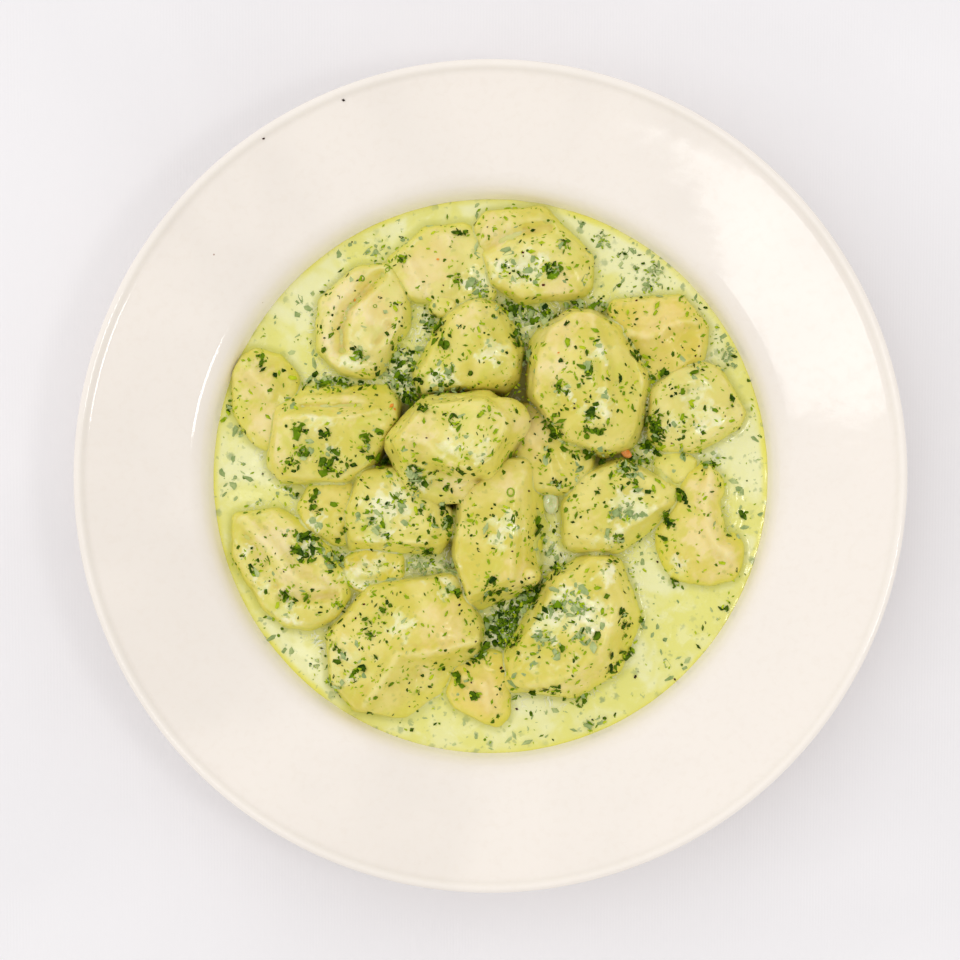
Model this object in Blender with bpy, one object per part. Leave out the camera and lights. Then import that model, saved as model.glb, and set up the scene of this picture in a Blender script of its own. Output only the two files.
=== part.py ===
"""Potato gnocchi in a pale herb cream sauce, in the deep ceramic plate that holds them.

The plate is one turned ceramic body. Every gnocco is its own soft, hand-cut dough body: a rounded
block trimmed by a few flat faces and pressed in by hollows. Pieces that lie under others are dented
by them, and the sauce fills the well up to its level, cut round every gnocco.
+X is to the right and +Y to the far side; the origin is the middle of the foot ring's underside.
"""

import math

import bmesh
import bpy
from mathutils import Matrix, Vector
from mathutils.bvhtree import BVHTree

MM = 0.001
GAP = 0.3
WALL_CLEARANCE = 0.55

# Plate, in millimetres.
PLATE_RADIUS = 120.0
TURN_STEPS = 40
FLOOR_TOP = 7.5
FLOOR_UNDERSIDE = 3.4
WELL_FOOT_RADIUS = 76.0
SHOULDER_RADIUS = 83.5
SHOULDER_HEIGHT = 29.5
RIM_EDGE_RADIUS = 116.6
RIM_EDGE_HEIGHT = 35.8
LIP_CROWN_HEIGHT = 37.0
LIP_SECTION = [(1.9, 0.0), (0.5, 0.5), (0.0, 1.6), (0.7, 3.1)]
WELL_FILLET = 17.0
SHOULDER_FILLET = 8.0
WALL_THICKNESS = 4.2
RIM_THICKNESS = 3.6
RIM_EDGE_THICKNESS = 2.8
FOOT_OUTER_RADIUS = 62.5
FOOT_INNER_RADIUS = 58.0
FOOT_FLARE = 0.5
FOOT_DRAFT = 0.8
FOOT_TOP_DROP = 0.1
MIDDLE_RING_SHARE = 0.45
WELL_ARC_STEPS = 4
SHOULDER_ARC_STEPS = 3
BACK_SHOULDER_STEPS = 2
BACK_WALL_STEPS = 3

# Sauce, in millimetres.
SAUCE_LEVEL = 22.7
SAUCE_CROWN = 0.8
SAUCE_TOP_RINGS = 3
ROOM_SIDES = 20
ROOM_GAP = 1.0
ROOM_WAIST_DROP = 3.0
ROOM_RISE_OVER_SAUCE = 1.0

# Gnocchi.
FLAT_SHARPNESS = 9.0
SAUCE_FILM = 0.8
SAUCE_FILM_TOP = FLOOR_TOP + GAP + SAUCE_FILM
DOUGH_FLOOR = SAUCE_FILM_TOP + GAP
PRESS_STEP = 0.2
PRESS_NEARNESS = 0.02
WELD = 0.02
CREASE_ANGLE = math.radians(50)


class Gnocco:
    """One gnocco. Lengths are millimetres and angles degrees.

    at: the middle of the piece. size: length, width and height of the rounded block. turn: angle of
    its length from +X. square: 2 is an egg, more is boxier. flats: (azimuth, elevation, distance)
    of each face that trims it. hollows: (azimuth, elevation, spread, depth) pressed into it, where
    a negative depth is a bulge. steps: mesh faces along each side of the block.
    """

    def __init__(self, name, at, size, turn, square=2.5, flats=(), hollows=(), steps=4):
        self.name = name
        self.steps = steps
        self.at = Vector(at)
        self.half = [length / 2 for length in size]
        self.span = max(self.half)
        self.turn = math.radians(turn)
        self.square = square
        self.flats = [(direction(azimuth, elevation), distance) for azimuth, elevation, distance in flats]
        self.flats.append((Vector((0, 0, -1)), self.at.z - DOUGH_FLOOR))
        self.hollows = [
            (direction(azimuth, elevation), math.radians(spread), depth)
            for azimuth, elevation, spread, depth in hollows
        ]

    def reach(self, ray):
        """Distance from the middle of the piece to its surface along a unit ray."""
        local = Matrix.Rotation(-self.turn, 3, "Z") @ ray
        block = sum((abs(part) / half) ** self.square for part, half in zip(local, self.half))
        nearness = block ** (FLAT_SHARPNESS / self.square)
        for normal, distance in self.flats:
            nearness += (max(0.0, normal.dot(ray)) / distance) ** FLAT_SHARPNESS
        radius = nearness ** (-1 / FLAT_SHARPNESS)
        for towards, spread, depth in self.hollows:
            off_axis = towards.angle(ray) / spread
            radius -= depth * math.exp(-off_axis * off_axis)
        return radius

    def may_meet(self, other):
        """Whether another piece is close enough to touch this one."""
        return (other.at - self.at).length < other.span + self.span

    def room_at(self, place):
        """How far a place is outside this piece, measured away from the middle of the piece."""
        offset = place - self.at
        return offset.length - self.reach(offset.normalized())


def direction(azimuth, elevation):
    """Unit vector at an angle from +X round +Z, raised by the elevation."""
    around, up = math.radians(azimuth), math.radians(elevation)
    return Vector((math.cos(around) * math.cos(up), math.sin(around) * math.cos(up), math.sin(up)))


# From the top of the heap down: each piece is dented by the ones before it.
GNOCCHI = [
    Gnocco(
        "gnocco_01_top_middle", at=(-9.8, 8.8, 36.0), size=(46, 32, 21), turn=18, square=2.6,
        flats=[(90, 5, 14.4), (118, 5, 15.2), (262, 28, 12.8), (323, 0, 14.0), (200, 10, 19.0)],
        hollows=[(30, 50, 16, 1.6), (24, 8, 14, -1.4), (330, 5, 14, 0.9)],
    ),
    Gnocco(
        "gnocco_02_large_right", at=(28.0, 26.8, 24.3), size=(46, 36, 27), turn=110, square=2.4,
        flats=[(28, 12, 17.2), (178, 14, 17.0), (215, 0, 17.4), (150, 30, 17.5), (270, 5, 20.4)],
        hollows=[(75, 55, 15, -0.9), (140, 60, 14, 0.9)],
    ),
    Gnocco(
        "gnocco_03_front_block", at=(2.8, -18.0, 24.2), size=(50, 29, 24), turn=79, square=3.6,
        flats=[(-6, 32, 11.4), (182, 12, 13.4), (140, 0, 16.4), (300, 0, 17.6), (235, 0, 21.0)],
        hollows=[(80, 75, 18, 0.6)],
    ),
    Gnocco(
        "gnocco_04_back_middle", at=(-5.6, 34.0, 21.6), size=(38, 37, 24), turn=65, square=2.6,
        flats=[(155, 8, 12.8), (30, 8, 15.0), (0, 0, 15.4), (215, 5, 20.0), (90, 0, 16.6)],
        hollows=[(150, 62, 15, 0.9), (330, 58, 16, -0.7)],
    ),
    Gnocco(
        "gnocco_05_left_block", at=(-45.4, 12.2, 21.8), size=(45, 31, 25), turn=9, square=3.2,
        flats=[(92, 10, 14.2), (95, 52, 11.8), (268, 14, 14.4), (320, 5, 15.8), (150, 0, 18.4)],
        hollows=[(98, 72, 12, 1.0)],
    ),
    Gnocco(
        "gnocco_06_large_front_right", at=(24.4, -44.8, 21.4), size=(53, 32, 26), turn=51, square=2.6,
        flats=[(150, 8, 14.4), (338, 30, 13.8), (110, 0, 18.8), (262, 5, 19.8), (0, 0, 18.4)],
        hollows=[(230, 60, 15, 0.6)],
    ),
    Gnocco(
        "gnocco_07_large_front_left", at=(-25.8, -48.8, 20.4), size=(50, 38, 25), turn=33, square=2.8,
        flats=[(95, 8, 19.0), (128, 0, 18.4), (298, 34, 14.4), (318, 0, 19.0), (200, 0, 22.0)],
        hollows=[(268, 30, 15, 1.0), (255, 5, 14, -0.9)],
    ),
    Gnocco(
        "gnocco_08_middle_wedge", at=(-27.2, -12.0, 20.6), size=(34, 35, 23.6), turn=70, square=3.0,
        flats=[(270, 12, 11.2), (56, 10, 13.0), (166, 6, 14.8), (225, 0, 18.6), (2, 0, 16.4)],
        hollows=[(210, 60, 16, 0.6)],
    ),
    Gnocco(
        "gnocco_09_far_lobed", at=(12.8, 62.2, 19.3), size=(40, 29, 23), turn=152, square=2.4,
        flats=[(62, 6, 13.4), (32, 0, 14.6), (225, 5, 13.6), (268, 12, 13.6)],
        hollows=[(225, 72, 16, 2.0), (150, 40, 14, -0.8)],
    ),
    Gnocco(
        "gnocco_10_right_of_middle", at=(37.2, -8.6, 19.6), size=(41, 29, 23), turn=28, square=2.6,
        flats=[(62, 8, 14.0), (118, 6, 14.0), (304, 16, 12.0), (270, 6, 14.0), (180, 0, 16.8)],
        hollows=[(20, 60, 16, 0.7)],
    ),
    Gnocco(
        "gnocco_11_right_pointed", at=(59.4, 19.4, 18.9), size=(38, 27, 22.6), turn=-14, square=2.2,
        flats=[(38, 10, 13.2), (-48, 10, 12.6), (94, 5, 13.6), (262, 5, 13.0)],
        hollows=[(100, 62, 15, 0.8)],
    ),
    Gnocco(
        "gnocco_12_far_right_block", at=(49.8, 40.4, 19.3), size=(36, 28, 23), turn=-24, square=3.4,
        flats=[(258, 30, 10.8), (92, 8, 11.2), (-2, 5, 13.8), (90, 78, 10.8)],
    ),
    Gnocco(
        "gnocco_13_left_bean", at=(-37.6, 44.4, 19.0), size=(38, 29, 23), turn=66, square=2.4,
        flats=[(152, 8, 14.2), (332, 8, 13.0), (205, 5, 16.6)],
        hollows=[(110, 62, 14, 1.6), (190, 58, 14, -0.9)],
    ),
    Gnocco(
        "gnocco_14_right_bent", at=(61.6, -14.4, 18.3), size=(40, 30, 21), turn=92, square=2.6,
        flats=[(152, 6, 11.4), (12, 0, 14.2), (300, 0, 17.4), (215, 0, 16.4), (25, 0, 15.4)],
        hollows=[(28, 12, 18, 4.4), (74, 60, 15, -0.7)],
    ),
    Gnocco(
        "gnocco_15_front_left_long", at=(-59.2, -28.2, 18.9), size=(47, 29, 22.6), turn=132, square=2.4,
        flats=[(42, 8, 12.8), (226, 8, 14.4), (75, 0, 17.4)],
        hollows=[(215, 60, 15, 1.5), (20, 68, 15, -0.9)],
    ),
    Gnocco(
        "gnocco_16_far_left_leaning", at=(-66.2, 23.4, 18.2), size=(34, 24, 20), turn=95, square=2.5,
        flats=[(178, 10, 10.6), (255, 5, 16.4), (120, 0, 14.2)],
        hollows=[(100, 50, 16, 0.9)],
    ),
    Gnocco(
        "gnocco_17_small_left", at=(-46.2, -10.8, 18.4), size=(25, 21.5, 20.4), turn=100, steps=3,
        flats=[(35, 10, 10.4), (200, 5, 10.4)],
    ),
    Gnocco(
        "gnocco_18_far_half_sunk", at=(-16.4, 61.2, 18.3), size=(43, 29, 21), turn=-4, square=2.6,
        flats=[(88, 8, 13.4), (128, 5, 14.6), (165, 62, 10.4), (262, 5, 11.2)],
        hollows=[(20, 62, 16, 0.8)],
    ),
    Gnocco(
        "gnocco_19_under_the_heap", at=(18.0, 4.6, 19.2), size=(37, 27, 22), turn=125, square=2.5,
        flats=[(20, 10, 13.6), (210, 5, 13.0)],
    ),
    Gnocco(
        "gnocco_20_front_half_sunk", at=(-2.9, -61.0, 17.6), size=(29, 24, 19.6), turn=108, steps=3,
        flats=[(25, 20, 10.0), (190, 5, 11.4)],
    ),
    Gnocco(
        "gnocco_21_sunk_front_left", at=(-33.8, -28.2, 17.6), size=(26, 20, 18.8), turn=10, steps=3,
    ),
    Gnocco(
        "gnocco_22_sunk_back", at=(-14.0, 48.4, 17.9), size=(18, 15, 19.0), turn=20, steps=3,
    ),
    Gnocco(
        "gnocco_23_sunk_right", at=(55.0, 1.0, 17.3), size=(23, 16, 17.6), turn=-10, steps=3,
    ),
]


def new_object(name, bm, material):
    """Object from a bmesh that was modelled in millimetres, in metres and shaded smooth."""
    bmesh.ops.scale(bm, vec=(MM, MM, MM), verts=bm.verts)
    bmesh.ops.recalc_face_normals(bm, faces=bm.faces)
    mesh = bpy.data.meshes.new(name)
    bm.to_mesh(mesh)
    bm.free()
    mesh.materials.append(material)
    mesh.shade_smooth()
    mesh.set_sharp_from_angle(angle=CREASE_ANGLE)
    thing = bpy.data.objects.new(name, mesh)
    bpy.context.scene.collection.objects.link(thing)
    return thing


def new_material(name, colour, roughness):
    """Principled material with a plain colour."""
    material = bpy.data.materials.new(name)
    material.use_nodes = True
    shader = material.node_tree.nodes["Principled BSDF"]
    shader.inputs["Base Color"].default_value = (*colour, 1.0)
    shader.inputs["Roughness"].default_value = roughness
    shader.inputs["Metallic"].default_value = 0.0
    return material


def fillet(before, corner, after, radius, steps):
    """Points of an arc that rounds the corner of a profile."""
    before, corner, after = Vector(before), Vector(corner), Vector(after)
    inward, outward = (before - corner).normalized(), (after - corner).normalized()
    half_angle = inward.angle(outward) / 2
    start = corner + inward * (radius / math.tan(half_angle))
    end = corner + outward * (radius / math.tan(half_angle))
    middle = corner + (inward + outward).normalized() * (radius / math.sin(half_angle))
    first, sweep = start - middle, (start - middle).angle_signed(end - middle)
    turns = [Matrix.Rotation(-sweep * step / steps, 2) for step in range(steps + 1)]
    return [tuple(middle + turn @ first) for turn in turns]


def well_profile(inset):
    """Foot, top and rounded foot of the well's wall, moved inwards by the inset."""
    lean = Vector((SHOULDER_RADIUS - WELL_FOOT_RADIUS, SHOULDER_HEIGHT - FLOOR_TOP)).normalized()
    foot = (WELL_FOOT_RADIUS - inset * (1 - lean.x) / lean.y, FLOOR_TOP + inset)
    top = (SHOULDER_RADIUS - inset / lean.y, SHOULDER_HEIGHT)
    return foot, top, fillet((0, foot[1]), foot, top, WELL_FILLET - inset, WELL_ARC_STEPS)


WELL_WALL = well_profile(0.0)[1:]


def parallel_corner(point, way, distance):
    """The point moved off a line that runs through it, to the right, by the distance."""
    along = way.normalized()
    return Vector(point) + Vector((along.y, -along.x)) * distance


def crossing(first_point, first_way, second_point, second_way):
    """Where two lines of the profile cross."""
    first_point, first_way = Vector(first_point), Vector(first_way)
    second_point, second_way = Vector(second_point), Vector(second_way)
    span = second_point - first_point
    share = span.cross(second_way) / first_way.cross(second_way)
    return tuple(first_point + first_way * share)


def plate_profile():
    """Outline of half the plate, from the middle of the well over the rim and back under the foot."""
    well_foot, shoulder = (WELL_FOOT_RADIUS, FLOOR_TOP), (SHOULDER_RADIUS, SHOULDER_HEIGHT)
    rim_edge = (RIM_EDGE_RADIUS, RIM_EDGE_HEIGHT)
    wall_way = Vector(shoulder) - Vector(well_foot)
    rim_way = Vector(rim_edge) - Vector(shoulder)
    wall_back = parallel_corner(well_foot, wall_way, WALL_THICKNESS)
    rim_back = parallel_corner(shoulder, rim_way, RIM_THICKNESS)
    under_shoulder = crossing(wall_back, wall_way, rim_back, rim_way)
    under_foot = crossing(wall_back, wall_way, (0, FLOOR_UNDERSIDE), (1, 0))
    under_edge = parallel_corner(rim_edge, rim_way, RIM_EDGE_THICKNESS)

    profile = [(0, FLOOR_TOP), (WELL_FOOT_RADIUS * MIDDLE_RING_SHARE, FLOOR_TOP)]
    profile += fillet((0, FLOOR_TOP), well_foot, shoulder, WELL_FILLET, WELL_ARC_STEPS)
    profile += fillet(well_foot, shoulder, rim_edge, SHOULDER_FILLET, SHOULDER_ARC_STEPS)
    profile += [rim_edge]
    profile += [(PLATE_RADIUS - inwards, LIP_CROWN_HEIGHT - down) for inwards, down in LIP_SECTION]
    profile += [tuple(under_edge)]
    back_shoulder_fillet = SHOULDER_FILLET - WALL_THICKNESS
    back_wall_fillet = WELL_FILLET + WALL_THICKNESS
    back_floor = (0, FLOOR_UNDERSIDE)
    profile += fillet(tuple(under_edge), under_shoulder, under_foot, back_shoulder_fillet, BACK_SHOULDER_STEPS)
    profile += fillet(under_shoulder, under_foot, back_floor, back_wall_fillet, BACK_WALL_STEPS)
    profile += [(FOOT_OUTER_RADIUS + FOOT_FLARE, FLOOR_UNDERSIDE - FOOT_TOP_DROP), (FOOT_OUTER_RADIUS, 0.0)]
    profile += [(FOOT_INNER_RADIUS, 0.0), (FOOT_INNER_RADIUS - FOOT_DRAFT, FLOOR_UNDERSIDE), back_floor]
    return profile


def turned(profile):
    """Closed body turned from a profile that starts and ends on the axis."""
    bm = bmesh.new()
    inner = profile[1:-1]
    first, last = bm.verts.new((0, 0, profile[0][1])), bm.verts.new((0, 0, profile[-1][1]))
    rings = []
    for step in range(TURN_STEPS):
        around = math.tau * step / TURN_STEPS
        across, along = math.cos(around), math.sin(around)
        rings.append([bm.verts.new((radius * across, radius * along, height)) for radius, height in inner])
    for ring, following in zip(rings, rings[1:] + rings[:1]):
        bm.faces.new((first, ring[0], following[0]))
        bm.faces.new((last, following[-1], ring[-1]))
        for level in range(len(inner) - 1):
            bm.faces.new((ring[level], ring[level + 1], following[level + 1], following[level]))
    return bm


def sauce_body():
    """Sauce that fills the well up to its level, a little higher in the middle."""
    foot, top, arc = well_profile(GAP)
    share = (SAUCE_LEVEL - foot[1]) / (top[1] - foot[1])
    edge_radius = foot[0] + (top[0] - foot[0]) * share
    profile = [(0, foot[1])] + arc + [(edge_radius, SAUCE_LEVEL)]
    for ring in range(1, SAUCE_TOP_RINGS):
        outwards = 1 - ring / SAUCE_TOP_RINGS
        profile.append((edge_radius * outwards, SAUCE_LEVEL + SAUCE_CROWN * (1 - outwards * outwards)))
    profile.append((0, SAUCE_LEVEL + SAUCE_CROWN))
    return turned(profile[::-1])


def room_to_wall(place):
    """How far a place inside the well is from its wall."""
    top, arc = WELL_WALL
    height, radius = place.z, top[0]
    for low, high in zip(arc, arc[1:] + [top]):
        if low[1] <= height <= high[1]:
            radius = low[0] + (high[0] - low[0]) * (height - low[1]) / (high[1] - low[1])
    return radius - math.hypot(place.x, place.y) - WALL_CLEARANCE


def pressed_reach(gnocco, ray, above):
    """Reach along a ray, stopped by the wall of the well and by the pieces that lie above."""
    limit, travelled = gnocco.reach(ray), 0.0
    while travelled < limit:
        place = gnocco.at + ray * travelled
        room = room_to_wall(place)
        for other, clearance in above.items():
            room = min(room, other.room_at(place) - clearance)
        if room < PRESS_NEARNESS:
            return travelled
        travelled += room / 2
    return limit


def gnocco_body(gnocco, above, grown):
    """Body of one gnocco, pressed in by the pieces above, its surface then moved outwards."""
    bm = bmesh.new()
    bmesh.ops.create_cube(bm, size=2.0)
    bmesh.ops.subdivide_edges(bm, edges=bm.edges[:], cuts=gnocco.steps - 1, use_grid_fill=True)
    turn = Matrix.Rotation(gnocco.turn, 3, "Z")
    for vert in bm.verts:
        even = [math.tan(part * math.pi / 4) * half for part, half in zip(vert.co, gnocco.half)]
        ray = (turn @ Vector(even)).normalized()
        vert.co = ray * pressed_reach(gnocco, ray, above)
    bmesh.ops.triangulate(bm, faces=bm.faces)
    bmesh.ops.recalc_face_normals(bm, faces=bm.faces)
    bm.normal_update()
    for vert in bm.verts:
        vert.co += gnocco.at + vert.normal * grown
    return bm


def nested_gnocchi(dough):
    """Makes the gnocchi from the top of the heap down, each pressed clear of those above it."""
    done = []
    for gnocco in GNOCCHI:
        near = [(other, tree) for other, tree in done if other.may_meet(gnocco)]
        above = {other: GAP for other, tree in near}
        touching = near
        while touching:
            bm = gnocco_body(gnocco, above, 0.0)
            shape = BVHTree.FromBMesh(bm)
            touching = [other for other, tree in near if shape.overlap(tree)]
            for other in touching:
                above[other] += PRESS_STEP
            bm.free()
        new_object(gnocco.name, gnocco_body(gnocco, above, 0.0), dough)
        grown = gnocco_body(gnocco, above, GAP)
        done.append((gnocco, BVHTree.FromBMesh(grown)))
        grown.free()


def largest_piece(bm):
    """Removes the crumbs that a cut leaves beside the main body."""
    unseen, pieces = set(bm.verts), []
    while unseen:
        piece, edge_of_search = set(), [unseen.pop()]
        while edge_of_search:
            vert = edge_of_search.pop()
            piece.add(vert)
            near = {edge.other_vert(vert) for edge in vert.link_edges} & unseen
            unseen -= near
            edge_of_search.extend(near)
        pieces.append(piece)
    pieces.sort(key=len)
    crumbs = [vert for piece in pieces[:-1] for vert in piece]
    bmesh.ops.delete(bm, geom=crumbs, context="VERTS")


def boolean(thing, other, operation):
    """Joins or cuts the thing with another body, and clears up points that fall together."""
    modifier = thing.modifiers.new("boolean", "BOOLEAN")
    modifier.operation = operation
    modifier.solver = "EXACT"
    modifier.object = other
    graph = bpy.context.evaluated_depsgraph_get()
    result = bpy.data.meshes.new_from_object(thing.evaluated_get(graph))
    thing.modifiers.clear()
    bm = bmesh.new()
    bm.from_mesh(result)
    bmesh.ops.remove_doubles(bm, verts=bm.verts, dist=WELD * MM)
    bmesh.ops.dissolve_degenerate(bm, edges=bm.edges, dist=WELD * MM)
    bm.to_mesh(thing.data)
    bm.free()
    bpy.data.meshes.remove(result)


def as_cutter(thing):
    thing.hide_render = True
    thing.display_type = "WIRE"
    return thing


def section_radius(gnocco, around, height):
    """Distance from the upright line through the middle of a piece to its side, at a height."""
    inside, outside = 0.0, gnocco.span * 1.5
    level = Vector((0.0, 0.0, height - gnocco.at.z))
    while outside - inside > WELD:
        middle = (inside + outside) / 2
        if gnocco.room_at(gnocco.at + level + direction(around, 0) * middle) > 0:
            outside = middle
        else:
            inside = middle
    return inside


def room_body(gnocco):
    """Room in the sauce for a piece: upright up to its widest part, and close round it above."""
    waist = min(gnocco.at.z, SAUCE_LEVEL - ROOM_WAIST_DROP)
    shoulder = (waist + SAUCE_LEVEL) / 2
    sauce_top = SAUCE_LEVEL + SAUCE_CROWN
    wide_levels = (waist - ROOM_WAIST_DROP, waist, shoulder)
    surface_levels = (SAUCE_LEVEL - ROOM_GAP, sauce_top)
    levels = (SAUCE_FILM_TOP, shoulder, SAUCE_LEVEL, sauce_top + ROOM_RISE_OVER_SAUCE)
    rings = [[] for level in levels]
    bm = bmesh.new()
    for side in range(ROOM_SIDES):
        around = 360.0 * side / ROOM_SIDES
        widest = max(section_radius(gnocco, around, level) for level in wide_levels) + ROOM_GAP
        at_surface = max(section_radius(gnocco, around, level) for level in surface_levels) + ROOM_GAP
        for ring, height, radius in zip(rings, levels, (widest, widest, at_surface, at_surface)):
            spot = direction(around, 0) * radius + Vector((gnocco.at.x, gnocco.at.y, height))
            ring.append(bm.verts.new(spot))
    bm.faces.new(rings[0])
    bm.faces.new(rings[-1])
    for low, high in zip(rings, rings[1:]):
        for side in range(ROOM_SIDES):
            after = (side + 1) % ROOM_SIDES
            bm.faces.new((low[side], low[after], high[after], high[side]))
    return bm


def sauce_round_gnocchi(cream):
    """Sauce with the room for every gnocco cut out of it, kept as one body."""
    sauce = new_object("cream_sauce", sauce_body(), cream)
    sunk = [gnocco for gnocco in GNOCCHI if gnocco.at.z - gnocco.half[2] < SAUCE_LEVEL]
    rooms = [as_cutter(new_object("room_for_" + gnocco.name, room_body(gnocco), cream)) for gnocco in sunk]
    for other in rooms[1:]:
        boolean(rooms[0], other, "UNION")
    boolean(sauce, rooms[0], "DIFFERENCE")
    bm = bmesh.new()
    bm.from_mesh(sauce.data)
    bmesh.ops.triangulate(bm, faces=bm.faces)
    largest_piece(bm)
    bm.to_mesh(sauce.data)
    bm.free()
    sauce.data.shade_smooth()
    sauce.data.set_sharp_from_angle(angle=CREASE_ANGLE)


def main():
    for thing in list(bpy.data.objects):
        bpy.data.objects.remove(thing)
    glaze = new_material("cream_glaze", (0.86, 0.80, 0.74), 0.18)
    dough = new_material("gnocchi_dough", (0.78, 0.66, 0.26), 0.45)
    cream = new_material("herb_cream_sauce", (0.78, 0.78, 0.34), 0.30)

    new_object("deep_plate", turned(plate_profile()), glaze)
    nested_gnocchi(dough)
    sauce_round_gnocchi(cream)


main()
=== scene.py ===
"""Potato gnocchi in herb cream sauce on their deep plate: the finished surfaces.

Every gnocco is cut from a rounded block of dough, smoothed like cooked dough, and then gets its folds
and dents. The sauce is one body that fills the plate and creeps into the creases between the gnocchi.
Chopped herbs, pepper and the small vegetable bits lie on top at their real size.
"""

import math
import random

import bpy
import numpy as np
from mathutils import Matrix, Vector, kdtree, noise


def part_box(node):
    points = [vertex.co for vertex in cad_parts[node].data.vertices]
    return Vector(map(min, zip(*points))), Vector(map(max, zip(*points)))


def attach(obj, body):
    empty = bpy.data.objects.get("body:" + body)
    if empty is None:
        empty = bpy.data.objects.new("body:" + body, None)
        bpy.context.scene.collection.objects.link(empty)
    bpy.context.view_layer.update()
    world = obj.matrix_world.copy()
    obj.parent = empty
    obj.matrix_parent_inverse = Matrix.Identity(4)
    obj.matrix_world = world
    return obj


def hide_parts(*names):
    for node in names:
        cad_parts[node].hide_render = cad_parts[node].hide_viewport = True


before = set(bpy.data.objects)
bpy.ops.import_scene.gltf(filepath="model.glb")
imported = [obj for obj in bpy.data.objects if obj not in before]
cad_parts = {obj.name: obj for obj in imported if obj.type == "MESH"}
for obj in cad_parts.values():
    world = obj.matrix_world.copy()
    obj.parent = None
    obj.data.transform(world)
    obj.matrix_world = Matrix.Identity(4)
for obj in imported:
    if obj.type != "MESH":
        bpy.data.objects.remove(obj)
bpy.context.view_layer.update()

MM = 0.001

# Plate outline, in millimetres. A corner is its radius and its height.
FLOOR_TOP = 7.5
FLOOR_UNDERSIDE = 3.4
WELL_MIDDLE = (0.0, FLOOR_TOP)
WELL_FOOT = (76.0, FLOOR_TOP)
SHOULDER = (83.5, 29.5)
WELL_FILLET = 17.0
SHOULDER_FILLET = 8.0
PLATE_TURN_STEPS = 256

SAUCE_LEVEL = 22.7
SAUCE_CROWN = 0.8
SAUCE_TURN_STEPS = 160
SAUCE_RINGS = 8

# Rays that look for the uppermost surface start this high, in millimetres.
HIGH_ABOVE = 120.0


# ---------------------------------------------------------------- working by hand

def pick(thing):
    """Makes one object the only selected one, and the one that is worked on."""
    bpy.ops.object.select_all(action="DESELECT")
    thing.select_set(True)
    bpy.context.view_layer.objects.active = thing


def edit(thing):
    """Goes into edit mode, with every point selected."""
    pick(thing)
    bpy.ops.object.mode_set(mode="EDIT")
    bpy.ops.mesh.select_mode(type="VERT")
    bpy.ops.mesh.select_all(action="SELECT")


def leave_edit():
    bpy.ops.object.mode_set(mode="OBJECT")


def finish_modifiers(thing):
    """Applies every modifier of an object, first to last."""
    pick(thing)
    for modifier in list(thing.modifiers):
        bpy.ops.object.modifier_apply(modifier=modifier.name)


def settle(thing):
    """Leaves the object at the origin, unturned and unscaled, with its place in its mesh."""
    pick(thing)
    bpy.ops.object.transform_apply(location=True, rotation=True, scale=True)


def points_of(thing):
    """Place of each point, in metres."""
    places = np.empty(len(thing.data.vertices) * 3)
    thing.data.vertices.foreach_get("co", places)
    return places.reshape(-1, 3)


def normals_of(thing):
    ways = np.empty(len(thing.data.vertices) * 3)
    thing.data.vertices.foreach_get("normal", ways)
    return ways.reshape(-1, 3)


def select_points(thing, chosen):
    """Selects the points for which chosen is true. The object is in object mode."""
    thing.data.polygons.foreach_set("select", np.zeros(len(thing.data.polygons), bool))
    thing.data.edges.foreach_set("select", np.zeros(len(thing.data.edges), bool))
    thing.data.vertices.foreach_set("select", chosen)


def shift_points(thing, chosen, step, reach=0.0):
    """Moves the chosen points by a step in millimetres, and less and less what lies within reach."""
    select_points(thing, chosen)
    pick(thing)
    bpy.ops.object.mode_set(mode="EDIT")
    step = [length * MM for length in step]
    bpy.ops.transform.translate(
        value=step, use_proportional_edit=reach > 0.0, proportional_edit_falloff="SMOOTH",
        proportional_size=max(reach, 0.1) * MM)
    leave_edit()


def join(things):
    """Joins the objects into the first one."""
    pick(things[0])
    for thing in things[1:]:
        thing.select_set(True)
    bpy.ops.object.join()


def fillet(before, corner, after, radius, steps):
    """Points of an arc that rounds a corner of an outline."""
    before, corner, after = Vector(before), Vector(corner), Vector(after)
    inward, outward = (before - corner).normalized(), (after - corner).normalized()
    half_angle = inward.angle(outward) / 2
    start = corner + inward * (radius / math.tan(half_angle))
    end = corner + outward * (radius / math.tan(half_angle))
    middle = corner + (inward + outward).normalized() * (radius / math.sin(half_angle))
    first, sweep = start - middle, (start - middle).angle_signed(end - middle)
    turns = [Matrix.Rotation(-sweep * step / steps, 2) for step in range(steps + 1)]
    return [tuple(middle + turn @ first) for turn in turns]


def well_corner(steps):
    """Rounded corner between the floor and the wall of the well."""
    return fillet(WELL_MIDDLE, WELL_FOOT, SHOULDER, WELL_FILLET, steps)


def wall_radius(height):
    """How far out the wall of the well lies at a height, in millimetres."""
    slope = (SHOULDER[0] - WELL_FOOT[0]) / (SHOULDER[1] - WELL_FOOT[1])
    return WELL_FOOT[0] + (height - FLOOR_TOP) * slope


def straight_down(graph, across, along):
    """What lies uppermost over a spot in millimetres: whether anything does, place, normal and object."""
    start = Vector((across, along, HIGH_ABOVE)) * MM
    hit, place, normal, _, thing, _ = bpy.context.scene.ray_cast(graph, start, (0, 0, -1))
    return hit, place, normal, thing


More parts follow.
